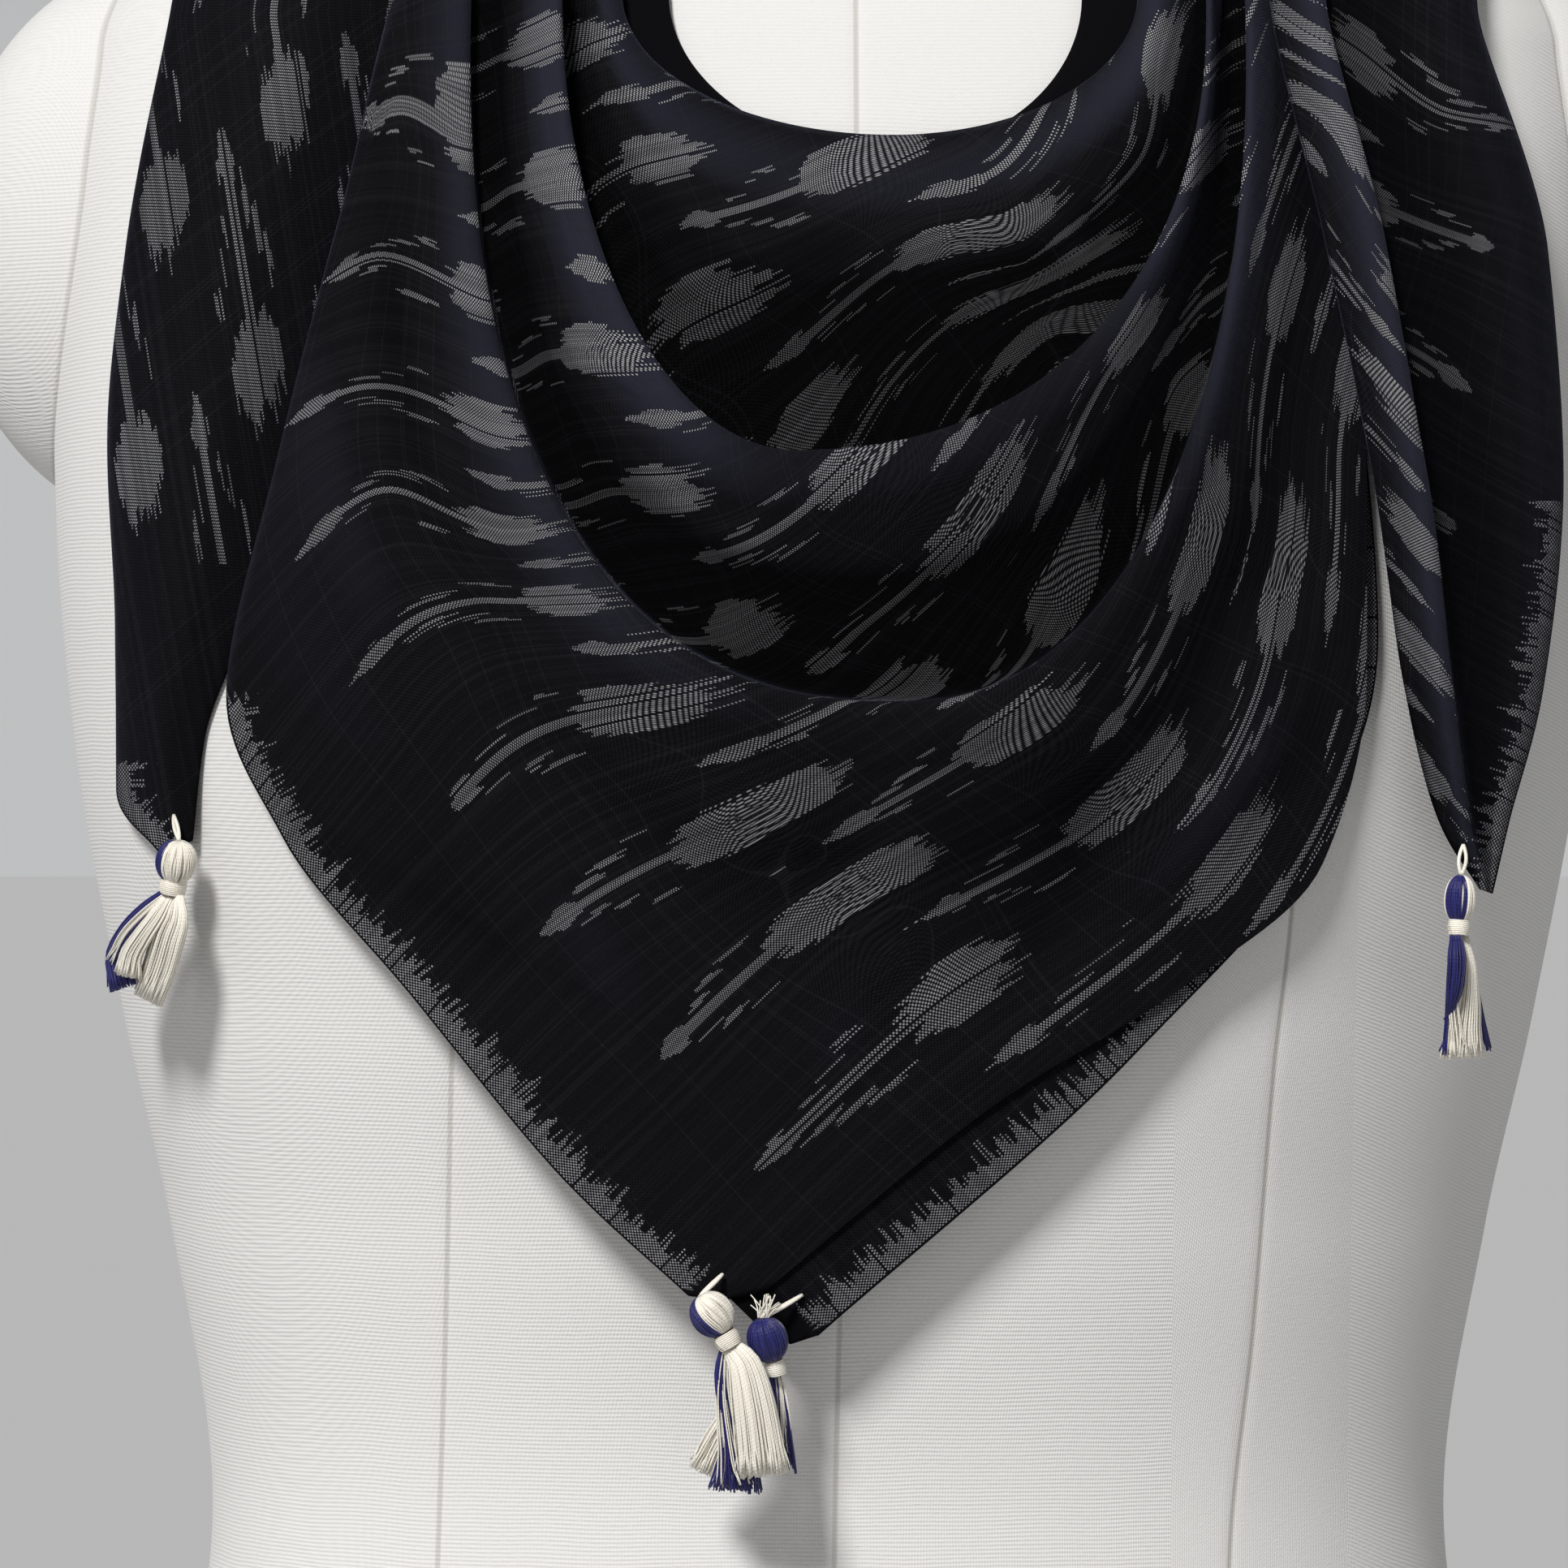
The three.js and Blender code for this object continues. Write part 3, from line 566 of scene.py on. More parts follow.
FRONT_ROWS = table("""
row leftX leftZ lowX lowZ rightX rightZ bendL bendR
0 -48 548 14 513 71 548 1 1
1 -55 548 7 480 81 548 1 1
2 -61 548 -8 441 86 548 1 0.9
3 -72 548 4 411 90 548 0.9 0.9
4 -82 548 16 384 95 548 0.8 0.9
5 -98 548 16 358 104 548 0.8 0.9
6 -111 497 13 335 115 490 1 1
7 -125 440 8 315 121 440 1.2 1.2
8 -137 387 3 298 121 390 1.6 1.6
9 -124 354 -3 285 111 348 2 1.9
10 -95 319 -9 273 80 321 2 2
11 -59 276 -17 261 38 295 2 2
12 -32 251 -24 250 -15 252 2 2
""")
# Fold height off the form at the left arm, the low point and the right arm of a row, and how
# far the cloth is tucked on behind the fold below it.
FRONT_FOLDS = table("""
row left low right tuckL tuck tuckR
0 3.6 3.4 3.6 0 0 0
0.12 7 5.2 8.5 -1 -1 -1
0.4 9 7 11 0 0 0
1 7.2 5.2 7.2 0 0 0
1.6 5 4 4.6 2 3 2
1.86 5.2 4.2 5 5 9 5
1.95 9.6 8.8 9.4 3.5 6 3.5
2.03 14.4 13.8 14.8 0 0 0
2.15 15.6 14.2 15.6 0 0 0
2.7 11 8.4 7.6 0 0 0
3.3 7 4.2 3.7 0 0.5 1
3.78 6.4 3.9 3.7 3 4.5 3
3.9 9 7.6 9.4 2 2.5 2
4.02 11.4 10.4 14 0 0 0
4.18 12 10.8 14.8 0 0 0
4.7 10 7.2 9 0 0 0
5.4 9 5.6 6 0 0 0
7 9 5 6 0 0 0
8 6.6 4.8 5 0 0 0
9 4.2 4.6 4.2 0 0 0
12 3.8 3.8 3.6 0 0 0
""")
GATHER_ROW, LAST_ROW = 5, 12
ROW_SPACING = 0.085
ROW_STEP = 0.02
ARMS = ("left", "low", "right")
TUCKS = ("tuckL", "tuck", "tuckR")
FRONT_COLUMNS = 190
WRAP_COLUMNS = 56

LEFT_WRAP = table("""
at inX inY inZ outX outY outZ lift
0 -48 -80 548 -98 -66 548 0
1 -62 -46 586 -102 -30 584 -1.5
2 -66 0 612 -104 16 592 -2.7
3 -52 46 618 -84 62 584 -2.6
4 -0.05 66 616 -0.05 100 572 -2.6
""")
RIGHT_WRAP = table("""
at inX inY inZ outX outY outZ lift
0 71 -70 548 104 -64 548 0
1 69 -44 588 101 -30 584 -2
2 67 0 612 99 14 594 -2.6
3 52 46 624 82 60 590 7
4 0.05 66 622 0.05 100 578 7
""")
NAPE_LIFT = 4
NAPE_FOLDS = 0.4  # share of a fold's height that is left beyond the shoulder
FLATTENING = (0.2, 2.2)  # steps of a guide in which the folds lose the rest
NAPE_REACH = 1.5  # steps of a guide, before the nape, in which a piece levels out
UNDER, OVER = 2.2, 9.4  # heights of the two layers that cross at the nape
NAPE_RIPPLE = 1.2


def levelled(height, plain, near, level):
    """A height that meets, at the nape, the piece from the other side. plain is 0 to 1 across."""
    return height * (1 - near) + (level + NAPE_RIPPLE * np.sin(5 * np.pi * plain)) * near


def row_points(rows, row, u):
    """Points of the rows: u runs 0 to 1 from a row's left end over its low point."""
    r = read(rows, "row", row)
    on_left = u < 0.5
    turn = np.where(on_left, u, 1 - u) * np.pi
    end_x = np.where(on_left, r["leftX"], r["rightX"])
    end_z = np.where(on_left, r["leftZ"], r["rightZ"])
    bend = np.where(on_left, r["bendL"], r["bendR"])
    x = r["lowX"] + (end_x - r["lowX"]) * np.cos(turn) ** bend
    z = end_z + (r["lowZ"] - end_z) * np.sin(turn) ** bend
    return x, z


def row_way(rows, row, u):
    """The unit direction in which the rows follow each other."""
    x0, z0 = row_points(rows, row - ROW_STEP, u)
    x1, z1 = row_points(rows, row + ROW_STEP, u)
    length = np.maximum(np.hypot(x1 - x0, z1 - z0), 1e-9)
    return (x1 - x0) / length, (z1 - z0) / length


def by_arm(columns, names, u):
    """Mixes the left, low and right columns along a row."""
    left, low, right = (columns[name] for name in names)
    share = np.sin(np.pi * u) ** 2
    return low * share + np.where(u < 0.5, left, right) * (1 - share)


def row_samples(folds, last, spacing):
    """Rows that pass through each row of the fold table, and close together between them."""
    found = []
    keys = folds["row"]
    for start, end in zip(keys[:-1], keys[1:]):
        if start >= last:
            break
        parts = max(2, int(round((min(end, last) - start) / spacing)))
        found += list(start + (min(end, last) - start) * np.arange(parts) / parts)
    return np.array(found + [last])


front_rows = row_samples(FRONT_FOLDS, LAST_ROW, ROW_SPACING)
front_u = np.linspace(0, 1, FRONT_COLUMNS + 1)
ROW, U = np.meshgrid(front_rows, front_u, indexing="ij")
base_x, base_z = row_points(FRONT_ROWS, ROW, U)
way_x, way_z = row_way(FRONT_ROWS, np.clip(ROW, ROW_STEP, LAST_ROW - ROW_STEP), U)
folds = read(FRONT_FOLDS, "row", ROW)
lift = by_arm(folds, ARMS, U)
tuck = by_arm(folds, TUCKS, U)
RELIEF_REACH = (-1.3, -0.9, -0.5, 0, 0.5, 0.9, 1.3)  # rows round a place that it is set against


def fold_relief(row, height_at):
    """How far a fold stands over its neighbours, or lies below them."""
    around = [height_at(read(FRONT_FOLDS, "row", row + step)) for step in RELIEF_REACH]
    return height_at(read(FRONT_FOLDS, "row", row)) - np.mean(around, 0)


# The relief of the folds is a map that paints shade into the cloth's colour in their low parts and a
# highlight onto their crests.
relief = fold_relief(ROW, lambda fold: by_arm(fold, ARMS, U))
flat_x, flat_z = base_x + way_x * tuck, base_z + way_z * tuck

# Folds that run across the rows: a line of three points, half its width and its height.
CREASES = table("""
x1 z1 x2 z2 x3 z3 half height
-118 470 -112 430 -96 396 9 1.6
-90 520 -98 470 -92 420 7 -1.8
-70 400 -40 368 -5 352 8 1.6
20 372 10 330 -6 290 11 1.4
60 372 52 340 30 312 9 -1.4
98 410 92 372 66 338 8 2.2
-60 350 -50 318 -38 288 10 1.2
-104 372 -86 344 -66 322 9 -1.2
112 400 108 372 90 345 5 -1.5
40 500 62 480 74 500 6 1.5
-20 500 10 478 40 486 8 -1
""")


def crease_height(x, z):
    total = np.zeros_like(x)
    for x1, z1, x2, z2, x3, z3, half, height in zip(*CREASES.values()):
        nearest = np.full_like(x, 1e9)
        along = np.zeros_like(x)
        for k, (ax, az, bx, bz) in enumerate([(x1, z1, x2, z2), (x2, z2, x3, z3)]):
            dx, dz = bx - ax, bz - az
            t = np.clip(((x - ax) * dx + (z - az) * dz) / (dx * dx + dz * dz), 0, 1)
            away = np.hypot(x - ax - t * dx, z - az - t * dz)
            along = np.where(away < nearest, (k + t) / 2, along)
            nearest = np.minimum(away, nearest)
        taper = np.sin(np.pi * np.clip(along, 0, 1)) ** 0.6
        total += height * taper * np.exp(-((nearest / half) ** 2))
    return total


CREASE_START = 25  # below the gathers, in which the creases grow to their height
CREASE_RELIEF = 0.8  # share of a crease's height that counts in the painted shade and highlight
creased = crease_height(flat_x, flat_z) * smoothstep(GATHER_HEIGHT - flat_z, 0, CREASE_START)
lift = lift + creased
relief = relief + creased * CREASE_RELIEF
# The pockets right of the low point lie in the shade of the folds over them: that shade is painted, as
# a lower relief that darkens the colour.
POCKET_LEFT, POCKET_RIGHT = (0.2, 0.5), (0.02, 0.3)  # where it grows, along a row from each end
POCKET_TOP, POCKET_LAST, POCKET_FADE = (0.2, 1.0), 7.5, 2.5  # rows in which it grows, ends and fades
POCKET_SHADE = 1.5
CREST_LOSS = 0.65  # of a crest's relief, and so of its painted highlight, where it is in that painted shade
pocket = smoothstep(U, *POCKET_LEFT) * smoothstep(1 - U, *POCKET_RIGHT)
pocket = pocket * smoothstep(ROW, *POCKET_TOP) * smoothstep(POCKET_LAST - ROW, 0, POCKET_FADE)
relief = np.where(relief > 0, relief * (1 - CREST_LOSS * pocket), relief) - POCKET_SHADE * pocket

# The left edge above the corner is a fold: the cloth rolls back under itself.
EDGE_ROLL = 5.0
EDGE_LEAST = 2.6  # lift that is left at the edge
ROLL_START = 12  # below the gathers, in which the fold grows
ROLL_END = 8.2  # the row where it ends, at the corner
from_left = np.hypot(base_x - base_x[:, :1], base_z - base_z[:, :1])
rolled = np.clip(1 - from_left / EDGE_ROLL, 0, 1)
roll = (1 - np.sqrt(1 - rolled**2)) * EDGE_ROLL * smoothstep(ROLL_END - ROW, 0, 0.5)
roll = np.minimum(roll, np.maximum(lift - EDGE_LEAST, 0))
lift = lift - roll * smoothstep(GATHER_HEIGHT - base_z, 0, ROLL_START)
front_points = lifted_front(flat_x, flat_z, lift)


def guide_places(g, across):
    """Places between the inner and the outer line of a guide: across it, then along it."""
    inner, outer = (joined(*(g[line + axis] for axis in "XYZ")) for line in ("in", "out"))
    return inner[None] + (outer - inner)[None] * across[..., None]


def wrap_points(guide, arm, edge_column, level):
    """Each fold of the gathers goes on over the shoulder to the nape: rows, then columns. Also
    where each row would be across the wrap if nothing were tucked."""
    rows = front_rows[front_rows <= GATHER_ROW]
    edge = np.abs(read(FRONT_ROWS, "row", rows)[edge_column])
    fold = read(FRONT_FOLDS, "row", rows)
    tucked = fold["tuckL" if arm == "left" else "tuckR"]
    plain = ((edge - edge[0]) / (edge[-1] - edge[0]))[:, None]
    at = np.linspace(0, guide["at"][-1], WRAP_COLUMNS + 1)
    near = smoothstep(at, at[-1] - NAPE_REACH, at[-1])[None]
    across = plain + tucked[:, None] / (edge[-1] - edge[0]) * (1 - near)
    g = read(guide, "at", at)
    depth = 1 - (1 - NAPE_FOLDS) * smoothstep(at, *FLATTENING)
    height = NAPE_LIFT + (fold[arm] - NAPE_LIFT)[:, None] * depth[None] + g["lift"][None]
    height = levelled(height, plain, near, level)
    return lifted_from_guide(guide_places(g, across), height), plain[:, 0]


left_wrap, left_across = wrap_points(LEFT_WRAP, "left", "leftX", UNDER)
right_wrap, right_across = wrap_points(RIGHT_WRAP, "right", "rightX", OVER)

# ---- Where the warp lies: cloth coordinates from sights of the motifs

# Each motif's band, column and step, and what is seen of it: part, px and py. band is 0 above
# the second fold, 1 between it and the third, 2 below, and a half is in both. step counts half
# repeats along the warp, and part is 0 at a motif's tip and 1 at its bulb.
WARP_SIGHTS = [
    (0, 15, 3, (0, 721, 129), (0.35, 835, 99)), (0, 13, 3, (0, 835, 275), (1, 1024, 216)),
    (0, 12, 2, (1, 858, 376)), (0, 10, 2, (1, 991, 519)),
    (0, 11, 3, (0, 943, 448), (0.43, 1040, 385), (1, 1165, 303)),
    (0, 12, 4, (0, 1127, 251), (0.45, 1254, 180)),
    (0, 10, 4, (0, 1263, 316), (0.6, 1412, 186), (1, 1435, 70)), (0.5, 7, 3, (1, 1295, 402)),
    (0.5, 5, 3, (1, 1404, 413)), (1, 15, 1, (1, 661, 50)), (1, 13, 1, (1, 670, 220)),
    (1, 11, 1, (0, 608, 452), (1, 721, 431)), (1, 9, 1, (0, 617, 615), (1, 810, 606)),
    (1, 7, 1, (0, 750, 755), (1, 905, 770)), (1, 12, 2, (0, 697, 327), (0.35, 785, 367)),
    (1, 10, 2, (0, 773, 512), (0.35, 865, 503)), (1, 8, 2, (0, 854, 689), (1, 1047, 569)),
    (1, 6, 2, (0, 985, 830), (1, 1190, 660)), (1, 4, 2, (0, 1185, 860), (1, 1300, 740)),
    (1, 7, 3, (0, 1139, 599)), (1, 5, 3, (0, 1265, 670)), (1, 3, 3, (0, 1368, 773), (1, 1463, 482)),
    (2, 0, 0, (0, 930, 1448), (1, 1180, 1220)), (2, 2, 0, (0, 805, 1305), (1, 1030, 1110)),
    (2, 4, 0, (0, 660, 1155), (1, 900, 1020)), (2, 6, 0, (0, 545, 1000), (1, 770, 880)),
    (2, 8, 0, (0, 430, 850), (0.6, 590, 735), (1, 690, 735)),
    (2, 10, 0, (0, 370, 685), (0.5, 475, 600), (1, 620, 660)),
    (2, 12, 0, (0, 355, 525), (0.4, 450, 470), (1, 601, 528)),
    (2, 14, 0, (0, 390, 350), (0.37, 465, 308), (1, 597, 367)),
    (2, 16, 0, (0, 435, 160), (0.4, 490, 132), (1, 576, 179)),
    (2, -1, 1, (0, 1225, 1315), (1, 1515, 1070)), (2, 1, 1, (0, 1135, 1140), (1, 1370, 1000)),
    (2, 3, 1, (0, 1000, 1045), (1, 1230, 915)), (2, 5, 1, (0, 850, 945), (0.58, 1035, 868)),
    (2, 0, 2, (0, 1455, 1025), (1, 1579, 739)), (2, 2, 2, (0, 1335, 930), (1, 1479, 675)),
    (2, -1, 3, (0, 1640, 787), (0.7, 1652, 552)), (2, 1, 3, (0, 1543, 663), (1, 1582, 364)),
]
SIGHT_REACH = 7  # in the frame's pixels
SMOOTHING = 4.0  # how far the map may pass beside a sight


def sights_in(sights, band):
    """The cloth coordinates, px and py of each sight in a band."""
    for own, column, step, *seen in sights:
        for part, px, py in seen:
            if abs(own - band) <= 0.5:
                warp = FIRST_TIP + step * REPEAT / 2 + part * BULB_FROM_TIP
                yield (warp, FIRST_COLUMN + column * COLUMN_PITCH), px, py


def thin_plate(places, values):
    """A smooth map of the plane through values at places, as a function."""
    places, values = np.array(places), np.array(values)

    def kernel(a, b):
        square = ((a[:, None] - b[None]) ** 2).sum(-1)
        return 0.5 * square * np.log(square + 1e-9)

    count = len(places)
    plane = np.hstack([np.ones((count, 1)), places])
    system = np.zeros((count + 3, count + 3))
    system[:count, :count] = kernel(places, places) + SMOOTHING * np.eye(count)
    system[:count, count:] = plane
    system[count:, :count] = plane.T
    weights = np.linalg.solve(system, np.vstack([values, np.zeros((3, values.shape[1]))]))

    def at(points):
        flat = points.reshape(-1, 2)
        found = kernel(flat, places) @ weights[:count]
        found += np.hstack([np.ones((len(flat), 1)), flat]) @ weights[count:]
        return found.reshape(*points.shape[:-1], values.shape[1])

    return at


ground = joined(base_x, base_z)
front_px, front_py = to_frame(front_points)
BAND_ROWS = (0, 2.0, 4.0, LAST_ROW)  # the folds that part the bands
BAND_SLACK = 0.3  # rows beyond its band in which a sight may lie
SECOND_EDGE, THIRD_EDGE = (-0.13, 0), (-0.2, -0.02)  # rows at a fold, which hides the change


def band_cloth(band):
    """Cloth coordinates over the whole layer, right only in one band of it."""
    first, last = BAND_ROWS[band] - BAND_SLACK, BAND_ROWS[band + 1] + BAND_SLACK
    places, values = [], []
    for value, px, py in sights_in(WARP_SIGHTS, band):
        away = np.hypot(front_px - px, front_py - py)
        near = away < max(SIGHT_REACH, away.min() + 1)
        in_band = near & (ROW >= first) & (ROW <= last)
        near = in_band if in_band.any() else near
        seen = np.argmin(np.where(near, front_points[..., 1], np.inf))
        places.append(ground.reshape(-1, 2)[seen])
        values.append(value)
    return thin_plate(places, values)(ground)


front_cloth = band_cloth(0)
for band, edge in ((1, SECOND_EDGE), (2, THIRD_EDGE)):
    below = smoothstep(ROW, BAND_ROWS[band] + edge[0], BAND_ROWS[band] + edge[1])[..., None]
    front_cloth = front_cloth * (1 - below) + band_cloth(band) * below

NO_COMB = 50.0  # a distance at which no comb is drawn


def border_distance(points_xz, line_xz):
    """Distance of points to a polyline, and the length along it, both in millimetres."""
    nearest = np.full(points_xz.shape[:-1], 1e9)
    along = np.zeros(points_xz.shape[:-1])
    before = 0.0
    for a, b in zip(line_xz[:-1], line_xz[1:]):
        way = b - a
        length = np.hypot(*way)
        t = np.clip(((points_xz - a) @ way) / length**2, 0, 1)
        away = np.linalg.norm(points_xz - a - t[..., None] * way, axis=-1)
        along = np.where(away < nearest, before + t * length, along)
        nearest = np.minimum(nearest, away)
        before += length
    past_end = (along <= 0) | (along >= before)
    return np.where(past_end & (nearest > 0.5), NO_COMB, nearest), along


# The comb runs along the corner's left edge from the first of these rows, and fades out above it.
CORNER_ROW, COMB_ROW = 7.95, 7.7
flat_xz = joined(flat_x, flat_z)
edge, along_edge = border_distance(flat_xz, flat_xz[front_rows >= CORNER_ROW, 0])
front_comb = joined(np.where(ROW > COMB_ROW, edge, NO_COMB), along_edge)

# ---- The rear layer

REAR_ROWS = table("""
row leftX leftZ lowX lowZ rightX rightZ bendL bendR
0 -37 548 14 509 58 548 1 1
1 -62 548 10 460 84 548 1 1
2 -88 540 8 410 104 540 0.9 0.9
3 -98 460 8 358 118 470 1 1
4 -121 378 4 308 124 400 1.6 1.6
5 -98 332 0 284 113 358 2 2
6 -52 280 -3 260 68 305 2 2
7 -14 242 -9 240 -3 242 2 2
""")
REAR_ROW_COUNT, REAR_COLUMNS = 120, 170
REAR_LIFT, REAR_END_LOWER = 2.4, 0.75  # and the share of it that is lost at the ends
# The rear layer's relief is set a little low, which paints a little shade into its colour.
REAR_RELIEF = -1.0
REAR_END = 0.06  # of a row's length, on from each end of it, up under the wraps
REAR_END_RISE, REAR_END_OUT = 26, 19
REAR_END_ROW, REAR_END_FADE = 2.6, 1.4  # the last row with such ends, and rows in which they fade
REAR_CORNER_ROW, REAR_COMB_ROW = 3.4, 2.9
rear_rows = np.linspace(0, REAR_ROWS["row"][-1], REAR_ROW_COUNT)
rear_u = np.linspace(-REAR_END, 1 + REAR_END, REAR_COLUMNS)
RROW, RU = np.meshgrid(rear_rows, rear_u, indexing="ij")
past_end = np.maximum(np.maximum(-RU, RU - 1), 0) / REAR_END
past_end = past_end * smoothstep(REAR_END_ROW - RROW, 0, REAR_END_FADE)
rear_x, rear_z = row_points(REAR_ROWS, RROW, np.clip(RU, 0, 1))
rear_x += np.sign(RU - 0.5) * past_end * REAR_END_OUT
rear_z += past_end * REAR_END_RISE
rear_points = lifted_front(rear_x, rear_z, REAR_LIFT * (1 - REAR_END_LOWER * past_end))
rear_xz = joined(rear_x, rear_z)
edge, along_edge = border_distance(rear_xz, rear_xz[rear_rows >= REAR_CORNER_ROW, -1])
rear_comb = joined(np.where(RROW > REAR_COMB_ROW, edge, NO_COMB), along_edge)
# Only its plain border and its comb show.
rear_cloth = joined(-edge, along_edge)
rear_relief = np.full_like(rear_cloth, REAR_RELIEF) * (1, 0)
rear_maps = {"cloth": rear_cloth, "comb": rear_comb, "relief": rear_relief}
rear_piece = grid_object("scarf_rear_cloth", rear_points, ikat, rear_maps)
stand_in(rear_piece, "ikat_cloth", "scarf_rear_layer")

# ---- The tails

RIGHT_TAIL = table("""
at inX inY inZ outX outY outZ lift
0 0.05 66 616 0.05 100 572 0.6
1 64 60 599 72 96 552 0.8
2 96 18 592 150 26 566 0.6
3 99 -32 585 150 -30 568 3.4
4 101 -62 546 150 -48 546 10
5 112 -90 489 165 -58 489 10.4
6 122 -98 436 168 -60 436 10.4
7 129 -92 388 163 -60 388 10.4
8 138 -84 357 155 -70 358 9.4
9 148 -74 342 151 -72 341 8.4
""")
LEFT_TAIL = table("""
at inX inY inZ outX outY outZ lift
0 -0.05 66 622 -0.05 100 578 8
1 -65 60 602 -72 96 556 8
2 -101 20 592 -152 28 564 2
3 -99 -34 586 -152 -30 567 -0.2
4 -93 -64 547 -154 -46 546 0
5 -110 -92 490 -163 -58 490 0
6 -118 -98 446 -167 -60 446 0
7 -133 -92 402 -165 -64 403 0
8 -143 -84 376 -165 -66 365 0
9 -146 -82 353 -154 -76 350 0
""")
# Across a tail, from its inner edge: where the cloth is, and how high. Where across turns
# back, one fold lies over the next.
LEFT_TAIL_FOLDS = table("""
t across height
0 0 1.2
0.1 0.1 1.6
0.3 0.3 1.8
0.6 0.6 3.2
0.8 0.82 3.2
0.93 0.97 2.4
1 1 1
""")
RIGHT_TAIL_FOLDS = table("""
t across height
0 0.03 0.9
0.05 0 1.8
0.1 0.01 3.2
0.3 0.13 5.6
0.42 0.225 7.8
0.47 0.25 7
0.52 0.235 4.6
0.57 0.225 2.8
0.63 0.28 1.9
0.78 0.55 2.6
0.9 0.83 4.6
0.97 0.97 3
1 1 1.2
""")
TAIL_ACROSS = 60
TAIL_ALONG = 190
TAIL_T = np.linspace(0, 1, TAIL_ACROSS + 1)
LAID_BETWEEN = (GATHER_HEIGHT - 6, GATHER_HEIGHT + 16)  # heights from seen in front to laid out
LEFT_EASE, RIGHT_EASE = 2.0, 3.2  # steps of the guide in which the folds flatten at the corner


def tail_points(guide, folds, ease, level):
    """A tail from the nape to its corner: rows across it, columns along it."""
    last = guide["at"][-1]
    at = np.linspace(0, last, TAIL_ALONG + 1)
    g = read(guide, "at", at)
    f = read(folds, "t", TAIL_T)
    near = smoothstep(NAPE_REACH - at, 0, NAPE_REACH)[None]
    flatter = np.clip((last - at) / ease, 0, 1)[None] * (1 - near)
    plain = TAIL_T[:, None]
    across = f["across"][:, None] * flatter + plain * (1 - flatter)
    edge = folds["height"][-1]
    height = edge + (f["height"][:, None] - edge) * flatter
    height = levelled(height + g["lift"][None], plain, near, level)
    return lifted_from_guide(guide_places(g, across), height)


def tail_ground(points):
    """A tail laid out flat: x and z in front, and its own length and width beyond the shoulder."""
    middle = points.mean(0)
    steps = np.linalg.norm(np.diff(middle, axis=0), axis=-1)
    behind = np.concatenate([np.cumsum(steps[::-1])[::-1], [0]])
    first_front = int(np.argmax((middle[:, 2] < GATHER_HEIGHT) & (middle[:, 1] < 0)))
    upward = behind - behind[first_front] + middle[first_front, 2]
    share = smoothstep(points[..., 2], *LAID_BETWEEN)
    share = np.where(points[..., 1] > 0, 1, share)
    sideways = np.sign(middle[first_front, 0]) * np.linalg.norm(points - points[:1], axis=-1)
    sideways += middle[first_front, 0] - sideways.mean()
    laid_x = points[..., 0] * (1 - share) + sideways * share
    laid_z = points[..., 2] * (1 - share) + upward[None] * share
    return joined(laid_x, laid_z)


def straight_cloth(ground, sight, value, warp, weft):
    """Cloth coordinates where they run straight: warp and weft are how far the ground moves,
    sideways and up, for a millimetre along each, and value is the cloth at the sight."""
    system = np.linalg.inv(np.array([warp, weft]).T)
    return (ground - np.array(sight)) @ system.T + np.array(value)


left_tail = tail_points(LEFT_TAIL, LEFT_TAIL_FOLDS, LEFT_EASE, OVER)
right_tail = tail_points(RIGHT_TAIL, RIGHT_TAIL_FOLDS, RIGHT_EASE, UNDER)
LEFT_SIGHT = (-140.3, 517.1)  # the tip of a motif, some repeats on from the warp end
LEFT_SIGHT_CLOTH = (FIRST_TIP + 4 * REPEAT, FIRST_COLUMN)
LEFT_WARP, LEFT_WEFT = (0.167, -0.911), (-0.815, -0.648)
BEYOND_WARP, BEYOND_WEFT = (-0.75, 0.55), (-0.15, -0.8)  # on the right tail, over the shoulder
left_tail_cloth = straight_cloth(
    tail_ground(left_tail), LEFT_SIGHT, LEFT_SIGHT_CLOTH, LEFT_WARP, LEFT_WEFT
)
# The same on the right tail, where the band is 0 left of its ridge and 1 right of it.
RIGHT_TAIL_SIGHTS = [
    (1, 0, 0, (0, 1872, 161)), (1, 2, 0, (0, 1846, 311)), (1, 4, 0, (0, 1815, 478)),
    (1, 0, 0, (0.5, 1776, 143), (1, 1676, 72)), (1, 2, 0, (0.6, 1755, 285)),
    (1, 4, 0, (0.35, 1760, 440)), (1, 6, 0, (0, 1800, 650)),
    (0, 4, 2, (0, 1754, 439), (0.5, 1646, 334)), (0, 6, 2, (0, 1780, 606), (0.42, 1675, 516)),
    (0, 2, 2, (1, 1652, 147), (0.72, 1700, 228)), (0, 0, 2, (1, 1607, 40)),
]
RIDGE_T = (0.47, 0.56)  # across the right tail, where it turns under its ridge
LAID_TOP = 556  # height up to which the sights of the right tail hold


def right_cloth_at(side):
    """Cloth coordinates over the whole right tail, right only on one side of its ridge."""
    ground = tail_ground(right_tail)
    own = (TAIL_T < RIDGE_T[0] + 0.01) if side == 0 else (TAIL_T > RIDGE_T[1])
    px, py = to_frame(right_tail)
    seen = own[:, None] & (right_tail[..., 1] < 0)
    places, values = [], []
    for value, sight_px, sight_py in sights_in(RIGHT_TAIL_SIGHTS, side):
        away = np.where(seen, np.hypot(px - sight_px, py - sight_py), np.inf)
        places.append(ground.reshape(-1, 2)[np.argmin(away)])
        values.append(value)
    held = joined(ground[..., 0], np.minimum(ground[..., 1], LAID_TOP))
    beyond = straight_cloth(ground - held, (0, 0), (0, 0), BEYOND_WARP, BEYOND_WEFT)
    return thin_plate(places, values)(held) + beyond


